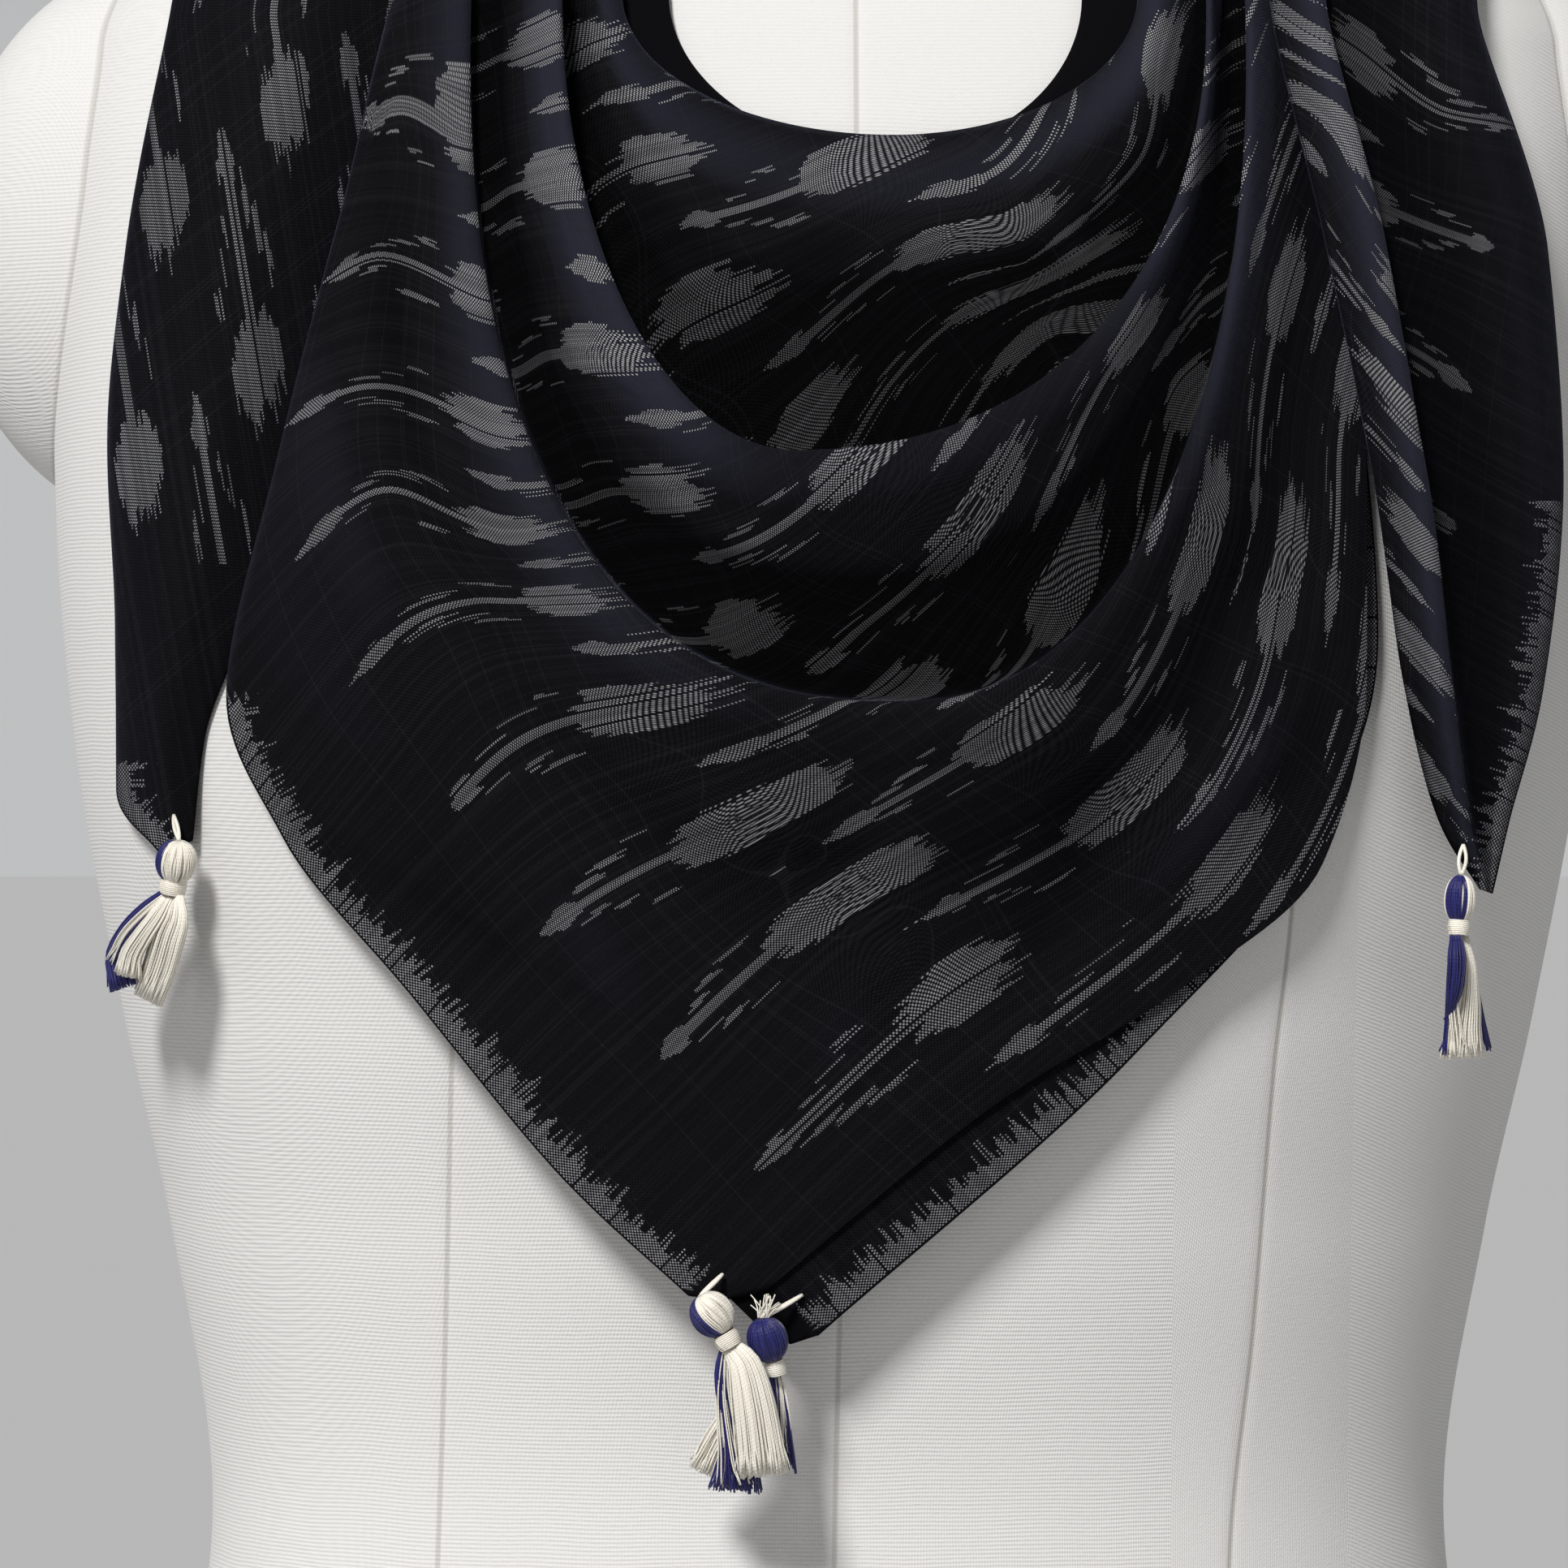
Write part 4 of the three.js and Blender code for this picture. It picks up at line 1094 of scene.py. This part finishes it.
past_ridge = smoothstep(TAIL_T, *RIDGE_T)[:, None, None]
right_tail_cloth = right_cloth_at(0) * (1 - past_ridge) + right_cloth_at(1) * past_ridge
COMB_FRONT = -30  # the comb shows in front of this y
LEFT_COMB_TOP, RIGHT_COMB_TOP = 372, 432


def tail_comb(points, top):
    """The comb along a tail's outer edge, where it is below a height."""
    outer = points[-1]
    border = outer[(outer[:, 2] < top) & (outer[:, 1] < 0)][:, [0, 2]]
    away, along = border_distance(points[..., [0, 2]], border)
    return joined(np.where(points[..., 1] < COMB_FRONT, away, NO_COMB), along)


TAIL_RELIEF = 1.6  # over the height of the tail's folds, for the painted shade in its hollows and the painted highlight on its ridges
OWN_WAY = 0.25  # of a wrap, before its cloth turns to that of the tail


def as_map(values, columns):
    """A relief map with the same value all along each row."""
    return np.repeat(joined(values, np.zeros_like(values))[:, None], columns, 1)


left_comb = tail_comb(left_tail, LEFT_COMB_TOP)
right_comb = tail_comb(right_tail, RIGHT_COMB_TOP)


def tail_relief(folds):
    height = read(folds, "t", TAIL_T)["height"]
    return as_map((height - height.mean()) * TAIL_RELIEF, TAIL_ALONG + 1)


def wrap_cloth(points, across, start, way, tail_cloth):
    """Cloth coordinates of a wrap: from those at the gathers, along the way of the folds, to
    those of the tail that it goes on in beyond the nape, give or take whole repeats."""
    steps = np.linalg.norm(np.diff(points, axis=1), axis=-1).mean(0)
    along = np.concatenate([[0], np.cumsum(steps)])
    own = start[:, None] + along[None, :, None] * np.array(way)
    meets = joined(*(np.interp(across, TAIL_T, tail_cloth[:, 0, k]) for k in (0, 1)))
    gap = meets - own[:, -1]
    columns = np.round(gap[:, 1].mean() / COLUMN_PITCH)
    repeats = np.round((gap[:, 0].mean() - columns * REPEAT / 2) / REPEAT)
    gap -= ((repeats + columns / 2) * REPEAT, columns * COLUMN_PITCH)
    share = smoothstep(along / along[-1], OWN_WAY, 1)
    return own + gap[:, None] * share[None, :, None]


LEFT_WAY, RIGHT_WAY = (0.42, 0.91), (0.91, -0.3)  # warp and weft, for a millimetre along the folds
gathered = front_rows <= GATHER_ROW
left_cloth = wrap_cloth(left_wrap, left_across, front_cloth[gathered, 0], LEFT_WAY, right_tail_cloth)
right_cloth = wrap_cloth(
    right_wrap, right_across, front_cloth[gathered, -1], RIGHT_WAY, left_tail_cloth
)


def with_wraps(front, left, right):
    """Puts the wraps beside the front grid; below the gathers their columns are unused."""
    width = left.shape[1] - 1
    depth = front.shape[-1]
    rows = len(front)
    whole = np.zeros((rows, front.shape[1] + 2 * width, depth))
    whole[:, width:-width] = front
    whole[: len(left), :width] = left[:, :0:-1]
    whole[: len(right), -width:] = right[:, 1:]
    return whole


# The wraps' relief, which paints shade and highlight into their colour, follows the folds they carry
# on.
def wrap_relief(arm):
    return as_map(fold_relief(front_rows[gathered], lambda fold: fold[arm]), WRAP_COLUMNS + 1)


no_comb = np.full((*left_cloth.shape[:2], 2), NO_COMB)
front_relief = joined(relief, np.zeros_like(relief))
front_maps = {
    "cloth": with_wraps(front_cloth, left_cloth, right_cloth),
    "comb": with_wraps(front_comb, no_comb, no_comb),
    "relief": with_wraps(front_relief, wrap_relief("left"), wrap_relief("right")),
}
whole_points = with_wraps(front_points, left_wrap, right_wrap)
face_shown = np.ones((len(front_rows) - 1, whole_points.shape[1] - 1), bool)
below_gathers = front_rows[1:] > GATHER_ROW + 1e-6
face_shown[below_gathers, :WRAP_COLUMNS] = False
face_shown[below_gathers, -WRAP_COLUMNS:] = False
front_piece = grid_object("scarf_front_cloth", whole_points, ikat, front_maps, shown=face_shown)
stand_in(front_piece, "ikat_cloth", "scarf_front_layer", "scarf_left_wrap", "scarf_right_wrap")

LEFT_TAIL_SHADE = 0.9  # it hangs in the shade of the arm, painted as a relief that reads a little lower and so darkens its colour
BARE_BELOW = 416  # no motif reaches the left tail's corner
left_relief_map = tail_relief(LEFT_TAIL_FOLDS)
left_relief_map[..., 0] -= LEFT_TAIL_SHADE
left_relief_map[..., 1] = smoothstep(BARE_BELOW + 1 - left_tail[..., 2], 0, 2)
left_maps = {"cloth": left_tail_cloth, "comb": left_comb, "relief": left_relief_map}
left_piece = grid_object("scarf_left_tail_cloth", left_tail, ikat, left_maps)
stand_in(left_piece, "ikat_cloth", "scarf_left_tail")
right_maps = {"cloth": right_tail_cloth, "comb": right_comb, "relief": tail_relief(RIGHT_TAIL_FOLDS)}
right_maps = {name: values[:, ::-1] for name, values in right_maps.items()}
right_piece = grid_object("scarf_right_tail_cloth", right_tail[:, ::-1], ikat, right_maps)
stand_in(right_piece, "ikat_cloth", "scarf_right_tail")

# ---- The dress form

FORM_ROWS = 270
SEAM_OFFSETS = (0, 0.5, 1.2, 3)  # of the columns beside a seam
SEAM_DEPTH, SEAM_WIDTH = 0.3, 0.8
SIDE_TURN = 0.05  # from straight aside to a side seam, in radians
ROWS_BELOW, SHOULDER_LINE, FORM_TOP = 0.62, 540, 672  # share of the rows up to the shoulder line
PANEL_COLUMNS = 34
END_RINGS = (0.995, 0.97, 0.7, 0.35, 0.001)  # rings that close the base and the neck
FAR = 9.0
FAINTNESS = (0.42, 0.40, 0.1, 0.3, 0.3, 0.3, 0.3, 0.3)  # of each seam round the form
STUB_COLUMNS, STUB_ROWS = 96, 64
POLE = 0.001  # left open at the tip of a stub, in radians
# Seams of the front, from the base to the neck: the centre and the two princess seams.
SEAM_PATHS = table("""
z centre right left
0 -1 86 -96
190 1 92 -90
240 2 97 -88
300 4 101 -86
348 5 105 -84
420 6 104 -86
500 6 92 -84
548 6 78 -74
592 5 50 -48
672 3 25 -25
""")


def torso_radius(angle, z):
    half, front, back = outline_at(z, False)
    depth = np.where(np.sin(angle) < 0, front, back)
    c, s = np.abs(np.cos(angle)), np.abs(np.sin(angle))
    return ((c / half) ** OUTLINE_POWER + (s / depth) ** OUTLINE_POWER) ** (-1 / OUTLINE_POWER)


def off_stub(points):
    """Roughly how far points are outside the nearer shoulder stub, in millimetres."""
    b = SHOULDER_STUB
    sizes = np.array([b["length"], b["depth"], b["height"]])
    from_middle = points * (0, 1, 1) + np.abs(points) * (1, 0, 0) - (b["x"], b["y"], b["z"])
    reach = np.linalg.norm(from_middle / sizes, axis=-1)
    steepness = np.linalg.norm(from_middle / sizes**2, axis=-1) / np.maximum(reach, 1e-6)
    return np.clip((reach - 1) / np.maximum(steepness, 1e-6), -FAR, FAR)


def form_piece():
    low_rows, high_rows = int(FORM_ROWS * ROWS_BELOW), int(FORM_ROWS * (1 - ROWS_BELOW))
    low_z = np.linspace(0, SHOULDER_LINE, low_rows)
    z = np.concatenate([low_z, np.linspace(SHOULDER_LINE, FORM_TOP, high_rows + 1)[1:]])
    paths = read(SEAM_PATHS, "z", z)
    half, front, back = outline_at(z, False)
    seams = [paths[name] for name in ("left", "centre", "right")]
    turns = [np.arctan2(-outline_depth(x, half, front), x) for x in seams]
    turns.append(np.full_like(z, SIDE_TURN))
    turns += [np.arctan2(outline_depth(x, half, back), x) for x in seams[::-1]]
    turns.append(np.full_like(z, np.pi - SIDE_TURN))
    turns = np.unwrap(np.stack(turns, -1), axis=1)
    turns = np.concatenate([turns, turns[:, :1] + 2 * np.pi], 1)
    angles, seam = [], []
    widest = SEAM_OFFSETS[-1]
    for k in range(turns.shape[1] - 1):
        a, b = turns[:, k], turns[:, k + 1]
        size_a, size_b = torso_radius(a, z), torso_radius(b, z)
        next_faint = FAINTNESS[(k + 1) % len(FAINTNESS)]
        for offset in SEAM_OFFSETS:
            angles.append(a + offset / size_a)
            seam.append(np.full_like(z, max(offset, FAINTNESS[k])))
        panel = b - a - widest / size_a - widest / size_b
        for i in range(1, PANEL_COLUMNS):
            angles.append(a + widest / size_a + panel * i / PANEL_COLUMNS)
            seam.append(np.full_like(z, widest))
        for offset in SEAM_OFFSETS[:0:-1]:
            angles.append(b - offset / size_b)
            seam.append(np.full_like(z, max(offset, next_faint)))
    angles.append(turns[:, -1])
    seam.append(np.full_like(z, FAINTNESS[0]))
    angle = np.stack(angles, 1)
    seam = np.stack(seam, 1)
    height = np.repeat(z[:, None], angle.shape[1], 1)
    radius = torso_radius(angle, height) - SEAM_DEPTH * np.exp(-((seam / SEAM_WIDTH) ** 2))
    points = joined(radius * np.cos(angle), radius * np.sin(angle), height)
    inwards = np.array(END_RINGS)[:, None, None] * (1, 1, 0) + (0, 0, 1)
    base, top = points[:1] * inwards, points[-1:] * inwards
    points = np.concatenate([base[::-1], points, top], 0)[:, ::-1]
    far = np.full((len(inwards), seam.shape[1]), FAR)
    seam = np.concatenate([far, seam, far], 0)[:, ::-1]
    seams = joined(seam, off_stub(points))
    return grid_object("dress_form_cover", points, cover, {"seam": seams}, thickness=0)


def stub_piece(name, side):
    """The rounded end of a shoulder, which runs on inside the torso."""
    b = SHOULDER_STUB
    turn, rise = np.meshgrid(
        np.linspace(0, 2 * np.pi, STUB_COLUMNS), np.linspace(POLE, np.pi - POLE, STUB_ROWS)
    )
    x = side * (b["x"] + b["length"] * np.cos(turn) * np.sin(rise))
    y = b["y"] + side * b["depth"] * np.sin(turn) * np.sin(rise)
    z = b["z"] - b["height"] * np.cos(rise)
    away = np.clip((fullness(x, y, z, False) - 1) * outline_at(z, False)[0], -FAR, FAR)
    seams = joined(np.full_like(x, FAR), away)
    return grid_object(name, joined(x, y, z), cover, {"seam": seams}, thickness=0)


form = form_piece()
for piece in (form, stub_piece("left_shoulder_cover", -1), stub_piece("right_shoulder_cover", 1)):
    stand_in(piece, "form_cover", "dress_form")

# ---- Tassels

NO_THREAD_WAY = (0.31, -0.95, 0.17)  # a direction that no thread takes


def tube(path, radius, sides, number):
    """A thread along a path, of one radius or of one for each point: points, faces and UVs."""
    path = np.asarray(path, float)
    radius = np.broadcast_to(radius, len(path))[:, None, None]
    ways = np.gradient(path, axis=0)
    ways /= np.maximum(np.linalg.norm(ways, axis=1), 1e-9)[:, None]
    aside = np.cross(ways, NO_THREAD_WAY)
    aside /= np.linalg.norm(aside, axis=1)[:, None]
    ahead = np.cross(ways, aside)
    turn = np.linspace(0, 2 * np.pi, sides, endpoint=False)
    ring = aside[:, None] * np.cos(turn)[None, :, None] + ahead[:, None] * np.sin(turn)[None, :, None]
    points = (path[:, None] + ring * radius).reshape(-1, 3)
    faces = []
    for i in range(len(path) - 1):
        for j in range(sides):
            a, b = i * sides + j, i * sides + (j + 1) % sides
            faces.append((a, b, b + sides, a + sides))
    faces.append(tuple(range(sides))[::-1])
    faces.append(tuple(range(len(points) - sides, len(points))))
    length = np.concatenate([[0], np.cumsum(np.linalg.norm(np.diff(path, axis=0), axis=1))])
    uv = joined(np.repeat(length, sides), np.full(len(points), number + 0.5))
    return points, faces, uv


class Threads:
    """Threads gathered into one mesh."""

    def __init__(self):
        self.points, self.faces, self.uvs, self.count, self.number = [], [], [], 0, 0

    def add(self, path, radius, sides):
        points, faces, uv = tube(path, radius, sides, self.number)
        self.points.append(points)
        self.faces += [tuple(i + self.count for i in face) for face in faces]
        self.uvs.append(uv)
        self.count += len(points)
        self.number += 1

    def piece(self, name, colour, *nodes):
        uv = {"thread": np.concatenate(self.uvs)}
        points = np.concatenate(self.points)
        made = mesh_object(name, points, self.faces, THREAD_LOOKS[colour], uv)
        stand_in(made, f"tassel_{colour}", *nodes)


# Places are x, z and the lift off the outline that the cloth hangs on. Seen from the front, a
# head's 180 degrees is its left side and 270 faces the viewer. A skirt has bundles of strands: a
# colour, how many, and x, z, lift and half width from the binding to the tips.
TASSELS = [
    {
        "name": "front_tassel", "loop": (-24.3, 256.0, 5.2), "head": (-26.6, 247.2, 9.4),
        "open": 0.35, "half": 4.7, "high": 5.0, "binding": (-23.2, 241.6, 9.4), "neck": 2.5,
        "blue_head": (168, 238), "twist": 0.3,
        "skirt": [
            ("cream", 330, (-22.9, 240.4, 9.4, 1.9), (-19.4, 236.0, 11, 3.6),
             (-17.4, 227.6, 11.5, 4.7), (-16.2, 219.1, 11, 5.2), (-15.2, 210.6, 10.5, 5.6)),
            ("blue", 60, (-23.8, 240.2, 8, 0.9), (-24.9, 233.5, 8, 1.3), (-23.6, 223.0, 7, 1.4),
             (-22.2, 214.9, 6.5, 3.4), (-21.4, 207.2, 6, 6.0)),
            ("blue", 90, (-19.5, 224, 5.5, 2.0), (-20.5, 216, 5.5, 4.2), (-21.2, 206.6, 5.5, 6.4)),
            ("cream", 12, (-23.6, 240.2, 8.6, 0.6), (-24.2, 230, 8, 1.6), (-22.6, 216, 8, 3.0),
             (-21.4, 208.2, 8, 5.0)),
        ],
    },
    {
        "name": "rear_tassel", "loop": (-6.4, 251.2, 3.2), "head": (-14.2, 241.4, 7.2),
        "open": 0.35, "half": 4.4, "high": 5.0, "binding": (-12.4, 235.2, 6.4), "neck": 1.9,
        "blue_head": (0, 360),
        "skirt": [
            ("blue", 70, (-12.6, 233.6, 5.2, 1.2), (-12.2, 227, 4.4, 1.5), (-12.0, 219, 4.0, 1.8),
             (-11.4, 212.5, 3.8, 2.2)),
            ("blue", 9, (-12.2, 233.6, 5.4, 0.6), (-10.6, 226, 4.8, 1.0), (-9.6, 218, 4.6, 1.2),
             (-8.6, 210.5, 4.4, 1.5)),
            ("cream", 70, (-12.0, 233.6, 5.2, 1.0), (-11.0, 228, 4.6, 1.2), (-10.6, 221, 4.2, 1.5),
             (-10.8, 216.5, 4.0, 1.6)),
            ("cream", 120, (-13.4, 233.4, 4.2, 1.2), (-19.6, 228, 3.6, 1.8), (-24.6, 220.5, 3.4, 2.6),
             (-29.6, 211.0, 3.2, 3.4)),
        ],
        "frayed": (-13.6, 248.6),
    },
    {
        "name": "left_tassel", "loop": (-150.4, 358.8, 2.0), "head": (-149.3, 348.3, 6.6),
        "open": 0.3, "half": 4.6, "high": 4.9, "binding": (-150.1, 342.7, 6.6), "neck": 2.6,
        "blue_head": (160, 222),
        "skirt": [
            ("blue", 160, (-152.2, 341.0, 6.0, 1.0), (-157.0, 337.0, 6.6, 1.8),
             (-161.8, 331.6, 7, 2.3), (-164.6, 325.8, 7, 2.6), (-162.6, 318.9, 6.6, 3.9)),
            ("cream", 9, (-151.6, 340.8, 7.4, 0.8), (-157.0, 336.2, 9, 1.6), (-162.0, 330.8, 9.5, 2.0),
             (-165.2, 324.6, 9, 2.0)),
            ("cream", 170, (-151.0, 340.6, 7.4, 1.2), (-154.0, 335.8, 8.6, 2.1),
             (-157.4, 331.2, 9.2, 2.5), (-160.4, 326.4, 9, 3.0), (-161.4, 321.6, 8.5, 3.7)),
            ("cream", 320, (-149.2, 340.6, 6.6, 1.6), (-149.4, 336.0, 7, 3.1), (-151.2, 330.8, 7, 4.2),
             (-153.4, 324.0, 6.5, 4.3), (-156.8, 316.2, 6, 3.4)),
        ],
    },
    {
        "name": "right_tassel", "loop": (143.6, 352.2, 12.2), "head": (142.7, 339.9, 14.0),
        "open": 0.55, "half": 3.4, "high": 5.4, "binding": (142.4, 333.6, 14.4), "neck": 2.1,
        "blue_head": (190, 292),
        "skirt": [
            ("blue", 110, (141.6, 331.8, 16, 1.3), (141.6, 326.5, 18, 2.2), (141.2, 320.5, 18.4, 2.0),
             (140.2, 314.8, 17.4, 0.7), (139.9, 312.4, 16, 0.3)),
            ("blue", 14, (141.0, 331.8, 15, 0.9), (140.0, 322.0, 16, 0.7), (139.4, 312, 16.4, 0.5),
             (138.8, 304.4, 16.6, 0.8)),
            ("cream", 250, (143.4, 331.8, 14.4, 1.2), (144.6, 323.6, 15, 2.4), (144.2, 316.0, 15, 3.6),
             (143.6, 309.4, 15, 4.4), (143.6, 303.6, 15, 5.1)),
            ("cream", 6, (142.0, 331.8, 16, 1.0), (140.6, 321, 17.4, 1.2), (141.6, 311, 17.6, 1.6),
             (143.0, 304.4, 17.4, 2.4)),
            ("blue", 16, (143.6, 331.8, 13.4, 0.4), (146.4, 323, 14, 0.5), (147.6, 316, 14, 0.5),
             (149.8, 305.0, 14, 0.7)),
        ],
    },
]
THREAD_RADIUS, LOOP_RADIUS, BINDING_RADIUS = 0.19, 0.42, 0.27
BINDING_HALF = 1.7
BINDING_TURNS = 8
SKIRT_DEPTH = 0.62  # of its half width
POLE_START, POLE_END = 0.1, 0.35  # radians from the poles of a head to the ends of its threads
CORE_HIGH, CORE_HALF = 0.9, 0.86  # of a head's own size
SHELLS = (0.93, 1.0)  # sizes of the layers of threads round the core
HEAD_BLUNTNESS = 0.85
FRAYED_THREADS = 26


def bow(start, middle, end, share):
    """A path from start to end, drawn towards middle."""
    return start * (1 - share) ** 2 + 2 * middle * share * (1 - share) + end * share**2


def front_point(x, z, lift_off):
    return lifted_front(np.array([x], float), np.array([z], float), np.array([lift_off], float))[0]


def tassel_head(t, threads):
    """Threads from pole to pole of the head, round a core; returns its crown and the way across."""
    head, binding = front_point(*t["head"]), front_point(*t["binding"])
    down = (binding - head) / np.linalg.norm(binding - head)
    depth = np.array((0.0, 1.0, 0.0)) - down * down[1]
    depth /= np.linalg.norm(depth)
    wide = np.cross(depth, down)
    wide *= np.sign(wide[0])
    rises = np.linspace(POLE_START, np.pi - POLE_END, 15)
    core = [head - down * t["high"] * CORE_HIGH * math.cos(v) for v in rises]
    first_blue, last_blue = t["blue_head"]
    core_colour = "blue" if last_blue == 360 else "cream"
    threads[core_colour].add(core, t["half"] * CORE_HALF * np.sin(rises), 20)
    meridians = int(2 * np.pi * t["half"] / (1.6 * THREAD_RADIUS))
    for scale in SHELLS:
        for k in range(meridians):
            degrees = 360 * (k + rng.uniform(-0.4, 0.4)) / meridians
            lean = rng.uniform(-0.1, 0.1)
            around = math.radians(degrees) + lean * rises + t.get("twist", 0) * (rises - 1)
            r = t["half"] * scale * np.sin(rises) ** HEAD_BLUNTNESS * (1 + rng.uniform(-0.02, 0.02))
            r = np.where(rises > 2, np.maximum(r, t["neck"] * 0.8), r)[:, None]
            spoke = wide * np.cos(around)[:, None] + depth * np.sin(around)[:, None]
            path = head - down * t["high"] * np.cos(rises)[:, None] + spoke * r
            colour = "blue" if first_blue <= degrees % 360 <= last_blue else "cream"
            threads[colour].add(path, THREAD_RADIUS, 4)
    knots = np.linspace(0, 1, BINDING_TURNS * 14)
    around = (2 * np.pi * BINDING_TURNS * knots)[:, None]
    r = (t["neck"] * (1.02 + 0.12 * np.sin(np.pi * knots)))[:, None]
    middle = binding + down * BINDING_HALF * (2 * knots[:, None] - 1)
    turns = middle + (wide * np.cos(around) + depth * np.sin(around)) * r
    threads["cream"].add(turns, BINDING_RADIUS, 5)
    return head - down * t["high"], wide


def tassel_strand(columns):
    """One strand of a bundle, on from the binding, with its own place in it and its own waver."""
    share, turn = math.sqrt(rng.uniform(0, 1)), rng.uniform(0, 2 * np.pi)
    at = np.linspace(0, rng.uniform(0.94, 1.0), 13)
    g = read(columns, "at", at)
    way_x, way_z = np.gradient(g["x"]), np.gradient(g["z"])
    length = np.hypot(way_x, way_z)
    across = g["half"] * share * math.cos(turn)
    across = across + rng.normal(0, 0.2) * np.sin(at * rng.uniform(2, 6) + turn) * at
    across = across + rng.normal(0, 0.42) * smoothstep(at, 0.78, 1.0)
    lift_off = g["lift"] + g["half"] * SKIRT_DEPTH * share * math.sin(turn)
    return lifted_front(g["x"] - way_z / length * across, g["z"] + way_x / length * across, lift_off)


def tassel(t):
    threads = {"cream": Threads(), "blue": Threads()}
    crown, wide = tassel_head(t, threads)
    top = front_point(*t["loop"])
    knots = np.linspace(0, 1, 12)[:, None]
    for shift in (-t["open"], t["open"]):
        path = bow(top, (crown + top) / 2 + np.array((shift, -1.2, 0)), crown, knots)
        threads["cream"].add(path + wide * shift * np.sin(np.pi * knots), LOOP_RADIUS, 7)
    for colour, count, *rows in t["skirt"]:
        columns = dict(zip(("x", "z", "lift", "half"), np.array(rows, float).T))
        columns["at"] = np.arange(len(rows)) / (len(rows) - 1)
        for _ in range(count):
            radius = THREAD_RADIUS * rng.uniform(0.8, 1.15)
            threads[colour].add(tassel_strand(columns), radius, 4)
    if "frayed" in t:
        x, z = t["frayed"]
        for _ in range(FRAYED_THREADS):
            tip_x, tip_z = x + rng.uniform(-5, 2.5), z + rng.uniform(-1.5, 3.2)
            tip = front_point(tip_x, tip_z, 7 + rng.uniform(-1, 2))
            root = crown + np.array((rng.uniform(-1, 1.6), -0.6, 0.2))
            bend = (root + tip) / 2 + np.array((0, -0.6, rng.uniform(0, 1)))
            threads["cream"].add(bow(root, bend, tip, knots), THREAD_RADIUS * 0.8, 4)
    name = t["name"]
    held = (f"{name}_loop", f"{name}_head", f"{name}_binding")
    threads["cream"].piece(f"{name}_cream_threads", "cream", *held)
    threads["blue"].piece(f"{name}_blue_threads", "blue", f"{name}_skirt")


for t in TASSELS:
    tassel(t)

# ---- Floor and light

HORIZON, OVERHEAD = 0.53, 0.20
HORIZON_TOP, OVERHEAD_FROM = 0.06, 0.40  # heights between which the one changes to the other
FLOOR_RADIUS = 30
FLOOR_DARK, FLOOR_LIGHT = (0.49, 0.49, 0.495), (0.505, 0.505, 0.51)
SKY_WHITE = (0.98, 0.99, 1, 1)
SUN_WAY, SUN_STRENGTH, SUN_SOFTNESS = (0.31, 0.66, -0.66), 3.5, 13
SUN_COLOUR = (1, 0.995, 0.985)


def floor():
    bpy.ops.mesh.primitive_circle_add(vertices=96, radius=FLOOR_RADIUS, fill_type="NGON")
    ground = bpy.context.object
    ground.name = "floor"
    s = Shader("floor")
    x, y, z = s.place()
    mottle = s.noise(x * 0.004, y * 0.004, 0.0, detail=3)
    s.set(Base_Color=s.mix(mottle, FLOOR_DARK, FLOOR_LIGHT))
    s.set(Roughness=0.95, Specular_IOR_Level=0.1)
    ground.data.materials.append(s.material)


floor()
sun = bpy.data.lights.new("key", "SUN")
sun.energy = SUN_STRENGTH
sun.angle = math.radians(SUN_SOFTNESS)
sun.color = SUN_COLOUR
linked("key", sun).rotation_euler = Vector(SUN_WAY).to_track_quat("-Z", "Y").to_euler()

# The world is as bright as the floor along the horizon, and dimmer overhead.
world = bpy.data.worlds.new("studio")
world.use_nodes = True
sky = world.node_tree
up = split(sky, add_node(sky, "TexCoord").outputs["Generated"])[2]
overhead = up.abs().ramp(HORIZON_TOP, OVERHEAD_FROM)
background = sky.nodes["Background"]
background.inputs["Color"].default_value = SKY_WHITE
connect(HORIZON - overhead * (HORIZON - OVERHEAD), background.inputs["Strength"])
bpy.context.scene.world = world
bpy.context.scene.view_settings.view_transform = "Standard"
